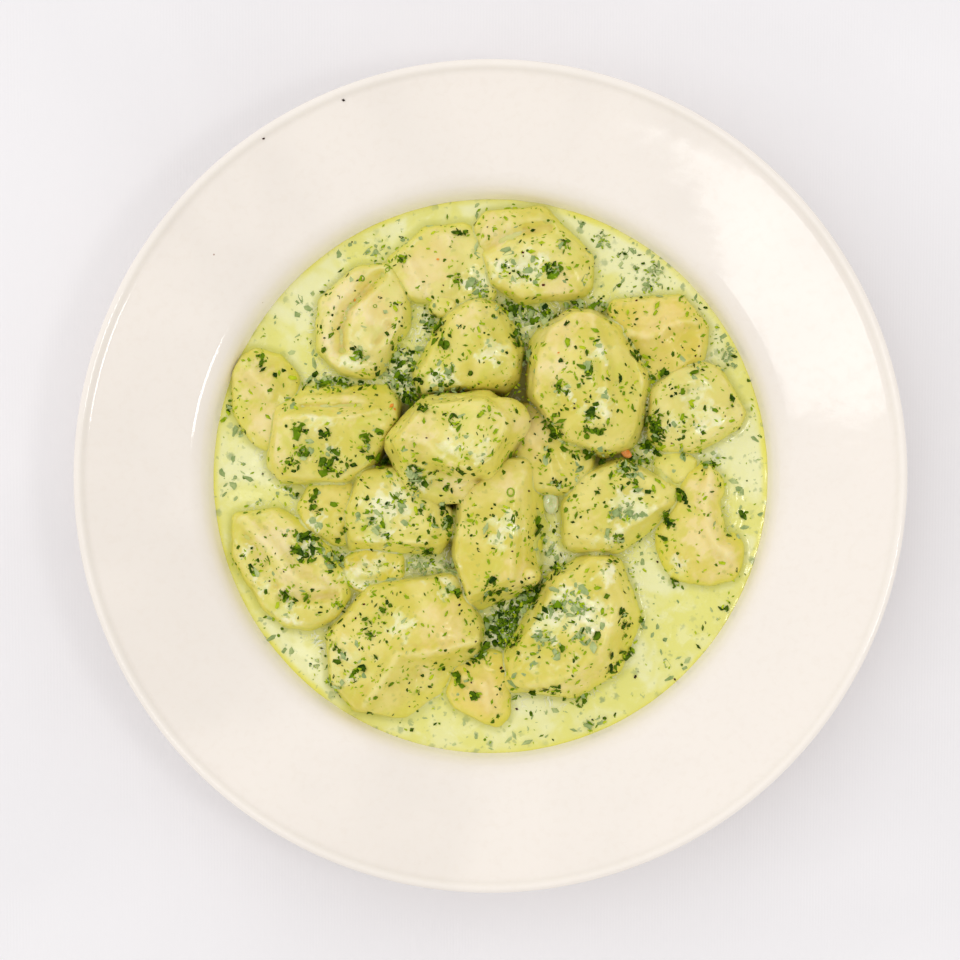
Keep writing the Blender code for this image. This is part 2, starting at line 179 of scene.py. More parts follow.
def spin_outline(name, outline, steps):
    """Closed body spun from an outline of (radius, height) in millimetres that ends on the axis."""
    start = Vector((outline[0][0], 0.0, outline[0][1])) * MM
    bpy.ops.mesh.primitive_plane_add(size=MM, location=start)
    body = bpy.context.object
    body.name = name
    settle(body)
    edit(body)
    bpy.ops.mesh.merge(type="CENTER")
    for (radius, height), (last_radius, last_height) in zip(outline[1:], outline):
        step = ((radius - last_radius) * MM, 0.0, (height - last_height) * MM)
        bpy.ops.mesh.extrude_region_move(TRANSFORM_OT_translate={"value": step})
    bpy.ops.mesh.select_all(action="SELECT")
    bpy.ops.mesh.spin(steps=steps, angle=math.tau, center=(0, 0, 0), axis=(0, 0, 1))
    bpy.ops.mesh.select_all(action="SELECT")
    bpy.ops.mesh.remove_doubles(threshold=0.005 * MM)
    bpy.ops.mesh.normals_make_consistent(inside=False)
    leave_edit()
    return body


# ---------------------------------------------------------------- painting
# Lengths are in metres here, and a scale counts what repeats in one metre.

def paint(red, green, blue):
    """Colour from its three values on a screen, 0 to 255."""
    straight = []
    for value in (red / 255, green / 255, blue / 255):
        straight.append(value / 12.92 if value <= 0.04045 else ((value + 0.055) / 1.055) ** 2.4)
    return (*straight, 1.0)


class Nodes:
    """Adds nodes to a material or a node group and joins them up."""

    def __init__(self, tree):
        self.tree = tree

    def feed(self, socket, value):
        if isinstance(value, bpy.types.NodeSocket):
            self.tree.links.new(value, socket)
        else:
            socket.default_value = value

    def add(self, kind, inputs=(), **settings):
        """Adds one node, makes its settings and feeds its inputs."""
        node = self.tree.nodes.new(kind)
        for name, value in settings.items():
            setattr(node, name, value)
        for name, value in dict(inputs).items():
            self.feed(node.inputs[name], value)
        return node

    def place(self):
        return self.add("ShaderNodeTexCoord").outputs["Object"]

    def noise(self, place, scale, detail=2.0, roughness=0.5, distortion=0.0):
        inputs = {"Vector": place, "Scale": scale, "Detail": detail,
                  "Roughness": roughness, "Distortion": distortion}
        return self.add("ShaderNodeTexNoise", inputs).outputs["Fac"]

    def cells(self, place, scale):
        return self.add("ShaderNodeTexVoronoi", {"Vector": place, "Scale": scale}).outputs

    def attribute(self, label):
        """A value that each point of the piece carries."""
        return self.add("ShaderNodeAttribute", attribute_name=label).outputs["Fac"]

    def radius(self, place):
        """How far a place lies from the upright through the middle of the plate."""
        flat = self.add("ShaderNodeVectorMath", {0: place, 1: (1.0, 1.0, 0.0)}, operation="MULTIPLY")
        return self.add("ShaderNodeVectorMath", {0: flat.outputs[0]}, operation="LENGTH").outputs["Value"]

    def between(self, value, low, high, start=0.0, end=1.0):
        """Goes smoothly from start to end while the value goes from low to high."""
        node = self.add("ShaderNodeMapRange", interpolation_type="SMOOTHSTEP")
        for socket, number in zip(node.inputs, (value, low, high, start, end)):
            self.feed(socket, number)
        return node.outputs[0]

    def math(self, operation, first, second=0.0):
        node = self.add("ShaderNodeMath", operation=operation)
        self.feed(node.inputs[0], first)
        self.feed(node.inputs[1], second)
        return node.outputs[0]

    def times(self, first, second):
        return self.math("MULTIPLY", first, second)

    def mix(self, share, first, second):
        node = self.add("ShaderNodeMix", data_type="RGBA")
        self.feed(node.inputs[0], share)
        self.feed(node.inputs[6], first)
        self.feed(node.inputs[7], second)
        return node.outputs[2]

    def tint(self, colour, mask, amount, target):
        """Takes a colour towards another, by the mask times an amount."""
        return self.mix(self.times(mask, amount), colour, target)

    def split(self, vector):
        return self.add("ShaderNodeSeparateXYZ", {"Vector": vector}).outputs

    def split_colour(self, colour):
        return self.add("ShaderNodeSeparateColor", {"Color": colour}).outputs

    def bump(self, height, depth, strength, normal=None):
        inputs = {"Height": height, "Distance": depth, "Strength": strength}
        if normal is not None:
            inputs["Normal"] = normal
        return self.add("ShaderNodeBump", inputs).outputs["Normal"]


def new_group(name, inputs, outputs):
    """Empty shader node group. Returns it with its nodes, its inputs and its output node."""
    group = bpy.data.node_groups.new(name, "ShaderNodeTree")
    for label, kind in inputs:
        group.interface.new_socket(name=label, in_out="INPUT", socket_type=kind)
    for label, kind in outputs:
        group.interface.new_socket(name=label, in_out="OUTPUT", socket_type=kind)
    nodes = Nodes(group)
    entry = nodes.add("NodeGroupInput")
    result = nodes.add("NodeGroupOutput")
    return group, nodes, entry.outputs, result.inputs


def new_material(name, roughness, **constants):
    """Material with a Principled shader. Constants are set on the shader's own sockets."""
    material = bpy.data.materials.new(name)
    material.use_nodes = True
    shader = material.node_tree.nodes["Principled BSDF"]
    shader.inputs["Roughness"].default_value = roughness
    for label, value in constants.items():
        shader.inputs[label.replace("_", " ")].default_value = value
    return material, Nodes(material.node_tree), shader.inputs


FLOAT, VECTOR = "NodeSocketFloat", "NodeSocketVector"


def sunken_flakes_group():
    """Soft irregular spots: leaf flakes that lie under a thin layer of cream."""
    group, nodes, given, result = new_group(
        "sunken_flakes", [("Place", VECTOR), ("Spots per metre", FLOAT), ("Share", FLOAT)],
        [("Mask", FLOAT)])
    wobble = nodes.add(
        "ShaderNodeTexNoise", {"Vector": given["Place"], "Scale": 900.0, "Detail": 1.0})
    shift = nodes.add("ShaderNodeVectorMath", {0: wobble.outputs["Color"]}, operation="SCALE")
    shift.inputs["Scale"].default_value = 0.0016
    moved = nodes.add(
        "ShaderNodeVectorMath", {0: given["Place"], 1: shift.outputs[0]}, operation="ADD")
    cells = nodes.cells(moved.outputs[0], given["Spots per metre"])
    chances = nodes.split_colour(cells["Color"])
    size = nodes.between(chances[1], 0.0, 1.0, 0.12, 0.42)
    spot = nodes.math("SUBTRACT", 1.0, nodes.math("DIVIDE", cells["Distance"], size))
    soft = nodes.between(spot, -0.15, 0.55)
    chosen = nodes.math("LESS_THAN", chances[0], given["Share"])
    nodes.feed(result["Mask"], nodes.times(soft, chosen))
    return group


def cloudy_group():
    """Soft clouds, as one value from 0 to 1."""
    group, nodes, given, result = new_group(
        "cloudy", [("Place", VECTOR), ("Clouds per metre", FLOAT), ("Low", FLOAT), ("High", FLOAT)],
        [("Mask", FLOAT)])
    broad = nodes.noise(given["Place"], given["Clouds per metre"], 3.0, 0.55, 0.4)
    nodes.feed(result["Mask"], nodes.between(broad, given["Low"], given["High"]))
    return group


def grouped(nodes, group, inputs):
    """Places a node group in a material and returns its mask."""
    node = nodes.add("ShaderNodeGroup", node_tree=group)
    for label, value in inputs.items():
        nodes.feed(node.inputs[label], value)
    return node.outputs[0]


SUNKEN_FLAKES = sunken_flakes_group()
CLOUDY = cloudy_group()


def clouds(nodes, place, per_metre, low, high):
    inputs = {"Place": place, "Clouds per metre": per_metre, "Low": low, "High": high}
    return grouped(nodes, CLOUDY, inputs)


def sunken_flakes(nodes, place, per_metre, share):
    inputs = {"Place": place, "Spots per metre": per_metre, "Share": share}
    return grouped(nodes, SUNKEN_FLAKES, inputs)


def glaze_material():
    """Glossy cream glaze with a few iron specks, smeared with sauce inside and bare under the foot, with a
    painted highlight on the lip and painted light around the sauce.
    """
    material, nodes, shader = new_material("cream_glaze", 0.18, IOR=1.5)
    place = nodes.place()
    radius = nodes.radius(place)
    height = nodes.split(place)[2]
    broad = clouds(nodes, place, 14.0, 0.35, 0.65)
    colour = nodes.mix(broad, paint(238, 230, 221), paint(245, 237, 228))
    fine = clouds(nodes, place, 420.0, 0.45, 0.75)
    colour = nodes.tint(colour, fine, 0.12, paint(228, 214, 198))
    # Painted highlight: a paler ring along the rolled lip.
    lip = nodes.between(radius, 0.1166, 0.1176)
    colour = nodes.tint(colour, lip, 0.3, paint(250, 244, 236))
    specks = nodes.cells(place, 75.0)
    dot = nodes.between(specks["Distance"], 0.012, 0.03, 1.0, 0.0)
    rare = nodes.split_colour(specks["Color"])[0]
    dot = nodes.times(dot, nodes.math("LESS_THAN", rare, 0.10))
    colour = nodes.mix(dot, colour, paint(150, 110, 84))
    by_sauce = nodes.between(radius, 0.0795, 0.0822, 1.0, 0.0)
    smear = nodes.times(by_sauce, clouds(nodes, place, 45.0, 0.42, 0.62))
    smear = nodes.times(smear, nodes.between(height, 0.020, 0.024))
    colour = nodes.tint(colour, smear, 0.55, paint(236, 232, 165))
    # Painted light: the glaze is painted lighter and pinker from the sauce's edge up the wall, lifting the
    # shade in the well.
    near_sauce = nodes.between(radius, 0.0790, 0.0875, 1.0, 0.0)
    colour = nodes.tint(colour, near_sauce, 0.8, paint(250, 242, 238))
    bare_foot = nodes.between(height, 0.0003, 0.0007, 1.0, 0.0)
    colour = nodes.mix(bare_foot, colour, paint(206, 190, 170))
    nodes.feed(shader["Base Color"], colour)
    rough = nodes.between(fine, 0.0, 1.0, 0.06, 0.11)
    rough = nodes.math("ADD", rough, nodes.times(bare_foot, 0.6))
    nodes.feed(shader["Roughness"], rough)
    waves = nodes.noise(place, 90.0, 2.0)
    pores = nodes.noise(place, 1400.0, 1.0)
    normal = nodes.bump(waves, 0.00012, 0.5)
    nodes.feed(shader["Normal"], nodes.bump(pores, 0.00001, 0.4, normal))
    return material


def dough_material():
    """Cooked potato dough: mottled yellow, paler where bare, glossy and milky where cream pooled; with
    painted light and shade.
    """
    material, nodes, shader = new_material(
        "gnocchi_dough", 0.4, IOR=1.42, Subsurface_Weight=0.25, Subsurface_Scale=0.0025,
        Coat_Roughness=0.14)
    shader["Subsurface Radius"].default_value = (1.0, 0.75, 0.35)
    place = nodes.place()
    height = nodes.split(place)[2]
    geometry = nodes.add("ShaderNodeNewGeometry")
    upward = nodes.split(geometry.outputs["Normal"])[2]
    depth = nodes.attribute("depth")
    cream = nodes.attribute("cream")
    ragged = nodes.math("SUBTRACT", clouds(nodes, place, 260.0, 0.3, 0.7), 0.5)
    cream = nodes.math("ADD", cream, nodes.times(ragged, 0.5))
    broad = clouds(nodes, place, 70.0, 0.35, 0.68)
    colour = nodes.mix(broad, paint(215, 203, 80), paint(233, 221, 128))
    lime = clouds(nodes, place, 150.0, 0.48, 0.68)
    colour = nodes.tint(colour, lime, 0.45, paint(206, 207, 70))
    # A share below zero counts as none, so one line is for the golden pieces and one for the pale.
    golden = nodes.attribute("golden")
    colour = nodes.tint(colour, golden, 0.45, paint(224, 190, 56))
    colour = nodes.tint(colour, golden, -0.45, paint(246, 234, 178))
    bare = nodes.between(cream, -0.1, -1.0)
    bare_colour = nodes.mix(broad, paint(232, 211, 130), paint(243, 226, 172))
    bare_colour = nodes.tint(bare_colour, golden, 0.6, paint(234, 204, 92))
    colour = nodes.tint(colour, bare, 0.85, bare_colour)
    # Paler on ridges: partly bare dough where the cream runs off, partly a painted highlight.
    ridge = nodes.between(geometry.outputs["Pointiness"], 0.505, 0.55)
    colour = nodes.tint(colour, ridge, 0.35, paint(243, 231, 176))
    # Painted shade: creases are painted darker and more orange.
    crease = nodes.between(geometry.outputs["Pointiness"], 0.492, 0.455)
    colour = nodes.tint(colour, crease, 0.55, paint(214, 186, 76))
    # Painted light: steep sides are painted lighter and yellower to lift their shade, with some yellow of
    # clinging sauce.
    flank = nodes.between(upward, 0.9, 0.3)
    colour = nodes.tint(colour, flank, 0.45, paint(242, 230, 104))
    near_sauce = nodes.between(height, 0.0240, 0.0280, 1.0, 0.0)
    colour = nodes.tint(colour, near_sauce, 0.45, paint(230, 226, 66))
    # Pale film where cream has pooled: real cream, and partly a painted highlight standing in for wet
    # glints.
    pooled = nodes.times(nodes.between(cream, 0.1, 1.0), nodes.between(upward, 0.3, 0.8))
    film = clouds(nodes, place, 240.0, 0.35, 0.65)
    film_colour = nodes.mix(film, paint(247, 244, 202), paint(228, 227, 144))
    colour = nodes.tint(colour, pooled, 0.85, film_colour)
    spots = sunken_flakes(nodes, place, 480.0, 0.42)
    spots = nodes.times(spots, nodes.math("ADD", nodes.times(pooled, 0.5), 0.26))
    colour = nodes.mix(spots, colour, paint(138, 160, 62))
    # Painted shade: darker and more olive the deeper a point lies below the smoothed relief, near black in
    # the deepest gaps.
    hollow = nodes.between(depth, 2.4, 6.0)
    colour = nodes.tint(colour, hollow, 0.85, paint(158, 140, 16))
    deep_hollow = nodes.between(depth, 4.4, 7.5)
    colour = nodes.tint(colour, deep_hollow, 0.8, paint(84, 66, 6))
    nodes.feed(shader["Base Color"], colour)
    nodes.feed(shader["Roughness"], nodes.between(pooled, 0.0, 1.0, 0.4, 0.18))
    nodes.feed(shader["Coat Weight"], nodes.between(pooled, 0.0, 1.0, 0.35, 1.0))
    grain = nodes.noise(place, 900.0, 3.0, 0.6)
    ripple = nodes.noise(place, 260.0, 2.0)
    normal = nodes.bump(ripple, 0.00035, 0.5)
    nodes.feed(shader["Normal"], nodes.bump(grain, 0.00008, 0.35, normal))
    return material


def sauce_material():
    """Herb cream: pale, with cream swirls, sunken flakes, and painted olive shade in the hollows, crossed
    by strands of cream.
    """
    material, nodes, shader = new_material(
        "herb_cream_sauce", 0.18, IOR=1.4, Subsurface_Weight=0.2, Subsurface_Scale=0.002,
        Coat_Roughness=0.08)
    shader["Subsurface Radius"].default_value = (1.0, 0.95, 0.5)
    place = nodes.place()
    radius = nodes.radius(place)
    cream = nodes.attribute("cream")
    broad = clouds(nodes, place, 55.0, 0.36, 0.64)
    broad = nodes.math("ADD", broad, nodes.times(cream, 0.6))
    colour = nodes.mix(nodes.between(broad, 0.0, 1.0), paint(228, 225, 124), paint(237, 236, 178))
    swirl = clouds(nodes, place, 190.0, 0.48, 0.70)
    colour = nodes.tint(colour, swirl, 0.35, paint(242, 241, 196))
    ragged_radius = nodes.math("ADD", radius, nodes.times(broad, 0.0012))
    edge = nodes.between(ragged_radius, 0.0797, 0.0816)
    edge = nodes.times(edge, clouds(nodes, place, 28.0, 0.3, 0.62))
    colour = nodes.tint(colour, edge, 0.9, paint(234, 228, 88))
    deep_spots = sunken_flakes(nodes, place, 300.0, 0.45)
    small_spots = sunken_flakes(nodes, place, 640.0, 0.40)
    veil = clouds(nodes, place, 60.0, 0.34, 0.62)
    deep_spots, small_spots = nodes.times(deep_spots, 0.75), nodes.times(small_spots, 0.5)
    spots = nodes.math("MAXIMUM", deep_spots, small_spots)
    spots = nodes.times(spots, nodes.between(veil, 0.0, 1.0, 0.35, 1.0))
    colour = nodes.mix(spots, colour, paint(142, 162, 106))
    # Painted shade: olive where the sauce lies low between the gnocchi.
    depth = nodes.attribute("depth")
    off_rim = nodes.between(radius, 0.074, 0.079, 1.0, 0.0)
    hollow = nodes.times(nodes.between(depth, 1.6, 5.6), off_rim)
    colour = nodes.tint(colour, hollow, 0.75, paint(122, 124, 10))
    contour = nodes.math("SUBTRACT", nodes.noise(place, 260.0, 2.0, 0.5, 0.8), 0.5)
    contour = nodes.math("ABSOLUTE", contour)
    inside = nodes.between(radius, 0.070, 0.076, 1.0, 0.0)
    strands = nodes.times(nodes.between(contour, 0.006, 0.028, 1.0, 0.0), nodes.between(depth, 0.8, 2.4))
    strands = nodes.times(strands, inside)
    colour = nodes.tint(colour, strands, 0.9, paint(243, 244, 222))
    # Painted shade: the deepest gaps are painted near black.
    deep_hollow = nodes.times(nodes.between(depth, 3.4, 6.0), inside)
    colour = nodes.tint(colour, deep_hollow, 0.8, paint(92, 84, 0))
    # Darker and more olive within about 2 mm of the dough, except in the deepest gaps.
    gap = nodes.attribute("gap")
    skin = nodes.between(gap, 0.3, 2.2, 1.0, 0.0)
    skin = nodes.times(skin, nodes.math("SUBTRACT", 1.0, deep_hollow))
    colour = nodes.tint(colour, skin, 0.55, paint(192, 192, 74))
    nodes.feed(shader["Base Color"], colour)
    rough = nodes.between(swirl, 0.0, 1.0, 0.2, 0.28)
    nodes.feed(shader["Roughness"], nodes.math("ADD", rough, nodes.times(deep_hollow, 0.5)))
    nodes.feed(shader["Coat Weight"], nodes.between(deep_hollow, 0.0, 1.0, 0.5, 0.0))
    calm = nodes.between(radius, 0.066, 0.075, 1.0, 0.2)
    ripple = nodes.times(nodes.noise(place, 330.0, 2.0), calm)
    ripple = nodes.math("ADD", ripple, nodes.times(strands, 1.2))
    fine_ripple = nodes.noise(place, 900.0, 2.0)
    normal = nodes.bump(ripple, 0.00045, 0.5)
    nodes.feed(shader["Normal"], nodes.bump(fine_ripple, 0.00018, 0.5, normal))
    return material


def herb_material(name, dark, light, roughness):
    """Finish of one topping, from dark to light by the tint of each flake, with pale veins."""
    material, nodes, shader = new_material(name, roughness, IOR=1.4, Specular_IOR_Level=0.12)
    tint = nodes.attribute("tint")
    colour = nodes.mix(nodes.between(tint, 0.0, 1.0), dark, light)
    place = nodes.place()
    veins = clouds(nodes, place, 900.0, 0.4, 0.7)
    colour = nodes.tint(colour, veins, 0.35, light)
    nodes.feed(shader["Base Color"], colour)
    nodes.feed(shader["Normal"], nodes.bump(nodes.noise(place, 1500.0), 0.00006, 0.5))
    return material


def onion_material():
    """Cooked onion: greenish, nearly clear in the middle and milky at the edge."""
    material, nodes, shader = new_material(
        "cooked_onion", 0.12, IOR=1.4, Subsurface_Weight=0.4, Subsurface_Scale=0.002,
        Coat_Weight=0.5)
    geometry = nodes.add("ShaderNodeNewGeometry")
    edge = nodes.between(geometry.outputs["Pointiness"], 0.47, 0.53)
    layers = clouds(nodes, nodes.place(), 500.0, 0.35, 0.65)
    colour = nodes.mix(layers, paint(176, 184, 104), paint(194, 200, 128))
    nodes.feed(shader["Base Color"], nodes.tint(colour, edge, 0.7, paint(226, 230, 186)))
    nodes.feed(shader["Normal"], nodes.bump(nodes.noise(nodes.place(), 700.0), 0.0001, 0.4))
    return material


def carrot_material():
    material, nodes, shader = new_material(
        "cooked_carrot", 0.3, IOR=1.4, Subsurface_Weight=0.2, Subsurface_Scale=0.001)
    fibres = clouds(nodes, nodes.place(), 900.0, 0.35, 0.65)
    nodes.feed(shader["Base Color"], nodes.mix(fibres, paint(234, 138, 48), paint(242, 172, 92)))
    nodes.feed(shader["Normal"], nodes.bump(nodes.noise(nodes.place(), 1200.0), 0.0001, 0.4))
    return material


def floor_material():
    material, nodes, shader = new_material("pale_cloth", 0.85)
    place = nodes.place()
    soft = clouds(nodes, place, 6.0, 0.3, 0.7)
    nodes.feed(shader["Base Color"], nodes.mix(soft, paint(238, 236, 238), paint(244, 242, 244)))
    weave = nodes.add("ShaderNodeTexWave", {"Vector": place, "Scale": 700.0, "Distortion": 1.5})
    nodes.feed(shader["Normal"], nodes.bump(weave.outputs["Fac"], 0.00005, 0.3))
    return material


# ---------------------------------------------------------------- plate

# Rolled lip, in millimetres in from the edge and down from the crown.
ROLLED_LIP = [
    (3.25, 1.18), (2.8, 0.75), (2.3, 0.3), (1.8, 0.06), (1.3, 0.0), (0.8, 0.16), (0.35, 0.55),
    (0.06, 1.1), (0.0, 1.7), (0.15, 2.3), (0.6, 2.95), (1.4, 3.45),
]
# Foot ring, from its outside under the plate to its inside.
FOOT_RING = [
    (63.2, 3.3), (62.7, 2.9), (62.5, 0.6), (62.0, 0.08), (61.4, 0.0), (59.0, 0.0), (58.4, 0.1),
    (58.0, 0.6), (57.6, 2.9),
]


def plate():
    """The deep plate, spun from its outline: well, shoulder, rim, rolled lip and foot ring."""
    edge_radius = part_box("deep_plate")[1].x / MM
    crown_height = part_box("deep_plate")[1].z / MM
    rim_edge = (edge_radius - 3.6, crown_height - 1.25)
    under_edge = (edge_radius - 2.6, crown_height - 4.0)
    under_shoulder, under_foot = (86.6, 26.3), (79.2, FLOOR_UNDERSIDE)
    outline = [WELL_MIDDLE, (30.0, FLOOR_TOP)]
    outline += well_corner(14)
    outline += fillet(WELL_FOOT, SHOULDER, rim_edge, SHOULDER_FILLET, 12)
    outline += [(100.0, 32.6), (110.0, 34.5), (rim_edge[0] - 0.8, rim_edge[1] - 0.22)]
    outline += [(edge_radius - inwards, crown_height - down) for inwards, down in ROLLED_LIP]
    outline += [under_edge]
    outline += fillet(under_edge, under_shoulder, under_foot, 5.0, 6)
    outline += fillet(under_shoulder, under_foot, (0, FLOOR_UNDERSIDE), 21.0, 10)
    outline += FOOT_RING
    outline += [(57.0, FLOOR_UNDERSIDE), (0.0, FLOOR_UNDERSIDE)]
    return spin_outline("plate_glazed", outline, PLATE_TURN_STEPS)


# ---------------------------------------------------------------- gnocchi

def cloud_texture(name, size):
    texture = bpy.data.textures.new(name, "CLOUDS")
    texture.noise_scale = size * MM
    texture.noise_depth = 2
    return texture


LUMPS = cloud_texture("dough_lumps", 8.0)
WRINKLES = cloud_texture("dough_wrinkles", 2.6)


def displace(thing, texture, height):
    """Raises and sinks a surface by a texture, height millimetres from lowest to highest."""
    modifier = thing.modifiers.new(texture.name, "DISPLACE")
    modifier.texture = texture
    modifier.texture_coords = "LOCAL"
    modifier.strength = height * MM
    modifier.mid_level = 0.5


def soften(thing, rounds):
    modifier = thing.modifiers.new("soften", "SMOOTH")
    modifier.factor = 0.5
    modifier.iterations = rounds


def clay(thing, grain):
    """Makes one skin of all that an object holds, in faces of one size."""
    modifier = thing.modifiers.new("clay", "REMESH")
    modifier.mode = "VOXEL"
    modifier.voxel_size = grain * MM


